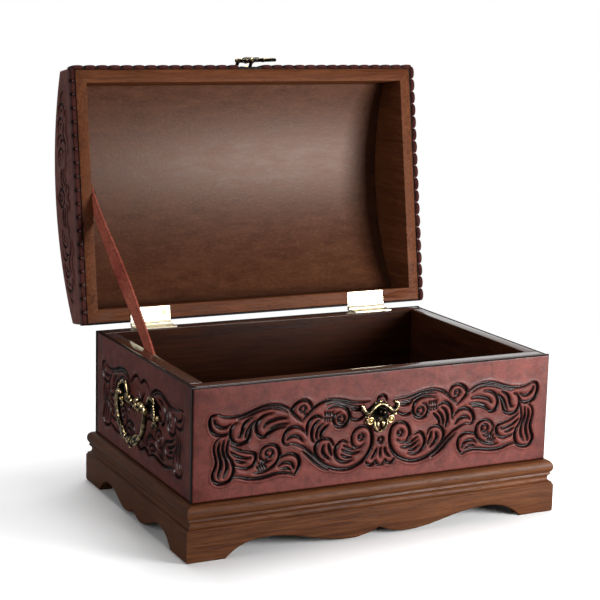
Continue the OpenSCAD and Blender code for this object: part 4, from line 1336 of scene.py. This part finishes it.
def hasp_arm_shape():
    """Drawn with the hinge at the top: leaves on the bar, then a ring with a long slot at the bottom."""
    shape = bmesh.new()
    tube(shape, [(-3.6, 0, 0), (0, 0, 0), (3.6, 0, 0)], [1.7, 1.7, 1.7])
    bar = [(0, -0.4, 0.2), (0, -7, 0.4), (0, -14, 0.5), (0, -20, 0.4), (0, -26, 0.2)]
    tube(shape, bar, [2.6, 2.2, 1.7, 1.9, 1.6])
    upper_leaf = [(1.4, -2, 0), (3.4, -5, 0.1), (3.6, -9, 0.2), (1.6, -12.6, 0.2)]
    bars(shape, upper_leaf, [1.3, 1.2, 1.0, 0.8])
    lower_leaf = [(1.2, -13.6, 0.1), (3.6, -16, 0.1), (5.2, -19.4, 0), (4.2, -22, 0)]
    bars(shape, lower_leaf, [1.0, 1.3, 1.4, 0.9])
    beads(shape, (4.4, -21.2, 0.1), 1.7)
    loop = [(0.6, -25.4), (3.4, -26), (5.4, -28.8), (5.6, -33), (5.5, -38), (3.6, -42), (0, -43.2)]
    bars(shape, [(x, z, 0) for x, z in loop], [1.4, 1.35, 1.3, 1.25, 1.3, 1.3, 1.3])
    beads(shape, (5.6, -31.6, 0), 1.35)
    beads(shape, (4.6, -40.4, 0), 1.35)
    return shape


def hasp_plate_shape():
    """Drawn with the hinge axis at the origin: a shield on the lid's leather, and two lugs."""
    shape = bmesh.new()
    wall = -HASP_OUT
    bars(shape, [(4.4, 0, 0), (6.6, 0, 0)], [1.75, 1.75])
    bars(shape, [(5.5, 0, 0), (5.5, 2.4, -2.2), (5.5, 4.4, wall + 0.8)], [1.5, 1.4, 1.2])
    rim = [(5.6, 3.2, wall + 0.5), (6.2, 7, wall + 0.7), (5.0, 11.2, wall + 0.6), (1.6, 12.6, wall + 0.5)]
    bars(shape, rim, [1.2, 1.0, 1.0, 0.8])
    for s in (-1, 1):
        hoop(shape, s * 4.6, 9, wall + 0.7, 1.9, 0.55)
    bead(shape, (0, 7.0, wall + 0.3), (5.4, 5.2, 0.9))
    bead(shape, (0, 6.4, wall + 0.9), (1.6, 2.6, 1.0))
    return shape


def build_handle(side, name):
    """side is -1 for the left handle and 1 for the right one."""
    face = box_mm(f"case_{name}_leather")[0 if side < 0 else 1][0]
    pivot = joint(f"{name}_bail_pivot")["pos_m"][2] / MM
    across = side * Y
    on_case = wall_place((face, 0, pivot), across)
    cast(f"{name}_handle_casting", handle_plate_shape(), on_case, "case", f"{name}_handle_plate", low=0.0)
    on_posts = wall_place((face + side * POST_OUT, 0, pivot), across)
    cast(f"{name}_bail_casting", bail_shape(), on_posts, f"{name}_handle", f"{name}_bail")


def build_catch():
    knob_low, knob_high = box_mm("catch_knob")
    front = box_mm("case_front_leather")[0][1]
    on_front = wall_place((0, front, (knob_low[2] + knob_high[2]) / 2), X)
    cast("catch_casting", catch_shape(), on_front, "case", "catch_plate", voxel=0.26, low=0.0)
    cast("catch_knob_casting", knob_shape(), on_front, "case", "catch_knob", "dark_brass", voxel=0.26)


def opened(place):
    """A way of placing points on the closed lid, with the result turned open."""
    return lambda points: moved(place(points), OPEN_LID)


def build_hasp():
    axis = moved(np.array(joint("hasp_hinge")["pos_m"]), OPEN_LID.inverted()) / MM
    lean = math.radians(HASP_LEAN)
    down = np.array((0, math.sin(lean), -math.cos(lean)))
    on_lid = opened(wall_place(axis, X))
    on_arm = opened(wall_place(axis, X, -down))
    cast("hasp_arm_casting", hasp_arm_shape(), on_arm, "hasp", "hasp_arm", voxel=0.3)
    cast("hasp_plate_casting", hasp_plate_shape(), on_lid, "lid", "hasp_plate", voxel=0.3)


# ---- camera, lights and floor ----


def aim(obj, target):
    direction = Vector(target) - obj.location
    obj.rotation_euler = direction.to_track_quat("-Z", "Y").to_euler()


def build_camera():
    """The photograph's view: from the front left, a little above the case, rolled very slightly."""
    yaw, pitch, roll = (math.radians(a) for a in (26.62, 10.26, 1.40))
    ahead = Vector((math.sin(yaw) * math.cos(pitch), math.cos(yaw) * math.cos(pitch), -math.sin(pitch)))
    level = Vector((math.cos(yaw), -math.sin(yaw), 0))
    upright = level.cross(ahead)
    right = level * math.cos(roll) + upright * math.sin(roll)
    up = upright * math.cos(roll) - level * math.sin(roll)
    data = bpy.data.cameras.new("camera")
    data.lens = 97.5
    data.sensor_width = 36.0
    data.shift_x = 0.0043
    data.shift_y = -0.044
    data.clip_start = 0.02
    camera = bpy.data.objects.new("camera", data)
    place = Matrix((right, up, -ahead)).transposed().to_4x4()
    place.translation = Vector((-500.9, -964.6, 353.0)) * MM
    camera.matrix_world = place
    bpy.context.scene.collection.objects.link(camera)
    bpy.context.scene.camera = camera


def soft_light(name, place, target, size, power, shine=True, matt=True):
    """A panel of light. It may be left out of highlights (shine) or of the plain lighting (matt)."""
    data = bpy.data.lights.new(name, "AREA")
    data.shape = "RECTANGLE"
    data.size, data.size_y = size
    data.energy = power
    light = bpy.data.objects.new(name, data)
    light.location = place
    light.visible_camera = False
    light.visible_glossy = shine
    light.visible_diffuse = matt
    aim(light, target)
    bpy.context.scene.collection.objects.link(light)


def studio_world():
    """A plain white backdrop, and soft grey light that rises to white behind the chest."""
    world = bpy.data.worlds.new("studio")
    world.use_nodes = True
    tree = world.node_tree
    background = tree.nodes["Background"]
    direction = tree.nodes.new("ShaderNodeTexCoord").outputs["Generated"]
    along = tree.nodes.new("ShaderNodeVectorMath")
    along.operation = "DOT_PRODUCT"
    tree.links.new(direction, along.inputs[0])
    along.inputs[1].default_value = (0.447, 0.894, 0.0)
    strength = tree.nodes.new("ShaderNodeMapRange")
    strength.interpolation_type = "SMOOTHSTEP"
    tree.links.new(along.outputs["Value"], strength.inputs["Value"])
    for socket, value in (("From Min", 0.6), ("From Max", 0.92), ("To Min", 0.08), ("To Max", 1.04)):
        strength.inputs[socket].default_value = value
    tree.links.new(strength.outputs["Result"], background.inputs["Strength"])
    background.inputs["Color"].default_value = (1, 1, 1, 1)
    backdrop = tree.nodes.new("ShaderNodeBackground")
    backdrop.inputs["Color"].default_value = (1, 1, 1, 1)
    backdrop.inputs["Strength"].default_value = 1.0
    seen = tree.nodes.new("ShaderNodeMixShader")
    tree.links.new(tree.nodes.new("ShaderNodeLightPath").outputs["Is Camera Ray"], seen.inputs[0])
    tree.links.new(background.outputs[0], seen.inputs[1])
    tree.links.new(backdrop.outputs[0], seen.inputs[2])
    tree.links.new(seen.outputs[0], tree.nodes["World Output"].inputs["Surface"])
    return world


# Distances from the chest's middle between which the floor fades out, in m
FLOOR_SOLID = 0.34
FLOOR_GONE = 0.62
FLOOR_HALF = 1.1


def floor_material():
    """Pale matt paper that fades out around the chest. Only the light that it throws back is toned down."""
    s = Shader("floor", Roughness=0.9, Specular_IOR_Level=0.1)
    seen = s.add("ShaderNodeLightPath").outputs["Is Camera Ray"]
    paper = s.mix(s.noise(3, 2), (0.93, 0.93, 0.93, 1), (0.95, 0.95, 0.95, 1))
    s.feed("Base Color", s.mix(seen, (0.3, 0.3, 0.3, 1), paper))
    distance = s.add("ShaderNodeVectorMath", {0: s.place}, operation="LENGTH").outputs["Value"]
    s.feed("Alpha", s.ranged(distance, FLOOR_SOLID, FLOOR_GONE, 1.0, 0.0))
    return s.material


def build_stage():
    mesh = bpy.data.meshes.new("floor")
    corners = [(FLOOR_HALF * x, FLOOR_HALF * y, 0) for x, y in ((-1, -1), (1, -1), (1, 1), (-1, 1))]
    mesh.from_pydata(corners, [], [(0, 1, 2, 3)])
    floor = bpy.data.objects.new("floor", mesh)
    mesh.materials.append(floor_material())
    bpy.context.scene.collection.objects.link(floor)
    bpy.context.scene.world = studio_world()
    soft_light("key", (0.37, -0.5, 0.16), (0.0, 0.0, 0.12), size=(0.3, 0.2), power=6.8)
    soft_light("top", (0.4, 0.75, 2.2), (0.15, 0.1, 0), size=(1.5, 1.5), power=62)
    soft_light("glint", (-0.9, -0.4, 0.6), (-0.14, 0, 0.07), size=(0.5, 0.5), power=12, matt=False)
    soft_light("fill", (-1.3, -0.3, 0.5), (-0.1, 0, 0.1), size=(1.0, 1.0), power=5.5, shine=False)
    bpy.context.scene.view_settings.view_transform = "Standard"


def finish_of(node):
    """The material of a CAD node that stays visible."""
    panels = {"bottom_panel": "case_X", "lid_top_panel": "lid_X", "lid_lining": "lid_lining"}
    if node in panels:
        return panels[node]
    if "screws" in node:
        return "screw_brass"
    if "tack" in node:
        return "dark_brass"
    return "hinge_brass" if "hinge" in node else "plain_antique"


def paint_visible_nodes():
    """Gives every CAD node that no piece stands for its finished material."""
    for name, node in frame["nodes"].items():
        if name not in stood_for:
            node.data.materials.clear()
            node.data.materials.append(MATERIALS[finish_of(name)])


# ---- everything ----

build_camera()
build_stage()
build_case_leather()
build_lid_leather()
build_wood()
build_strap()
build_handle(-1, "left")
build_handle(1, "right")
build_catch()
build_hasp()
paint_visible_nodes()
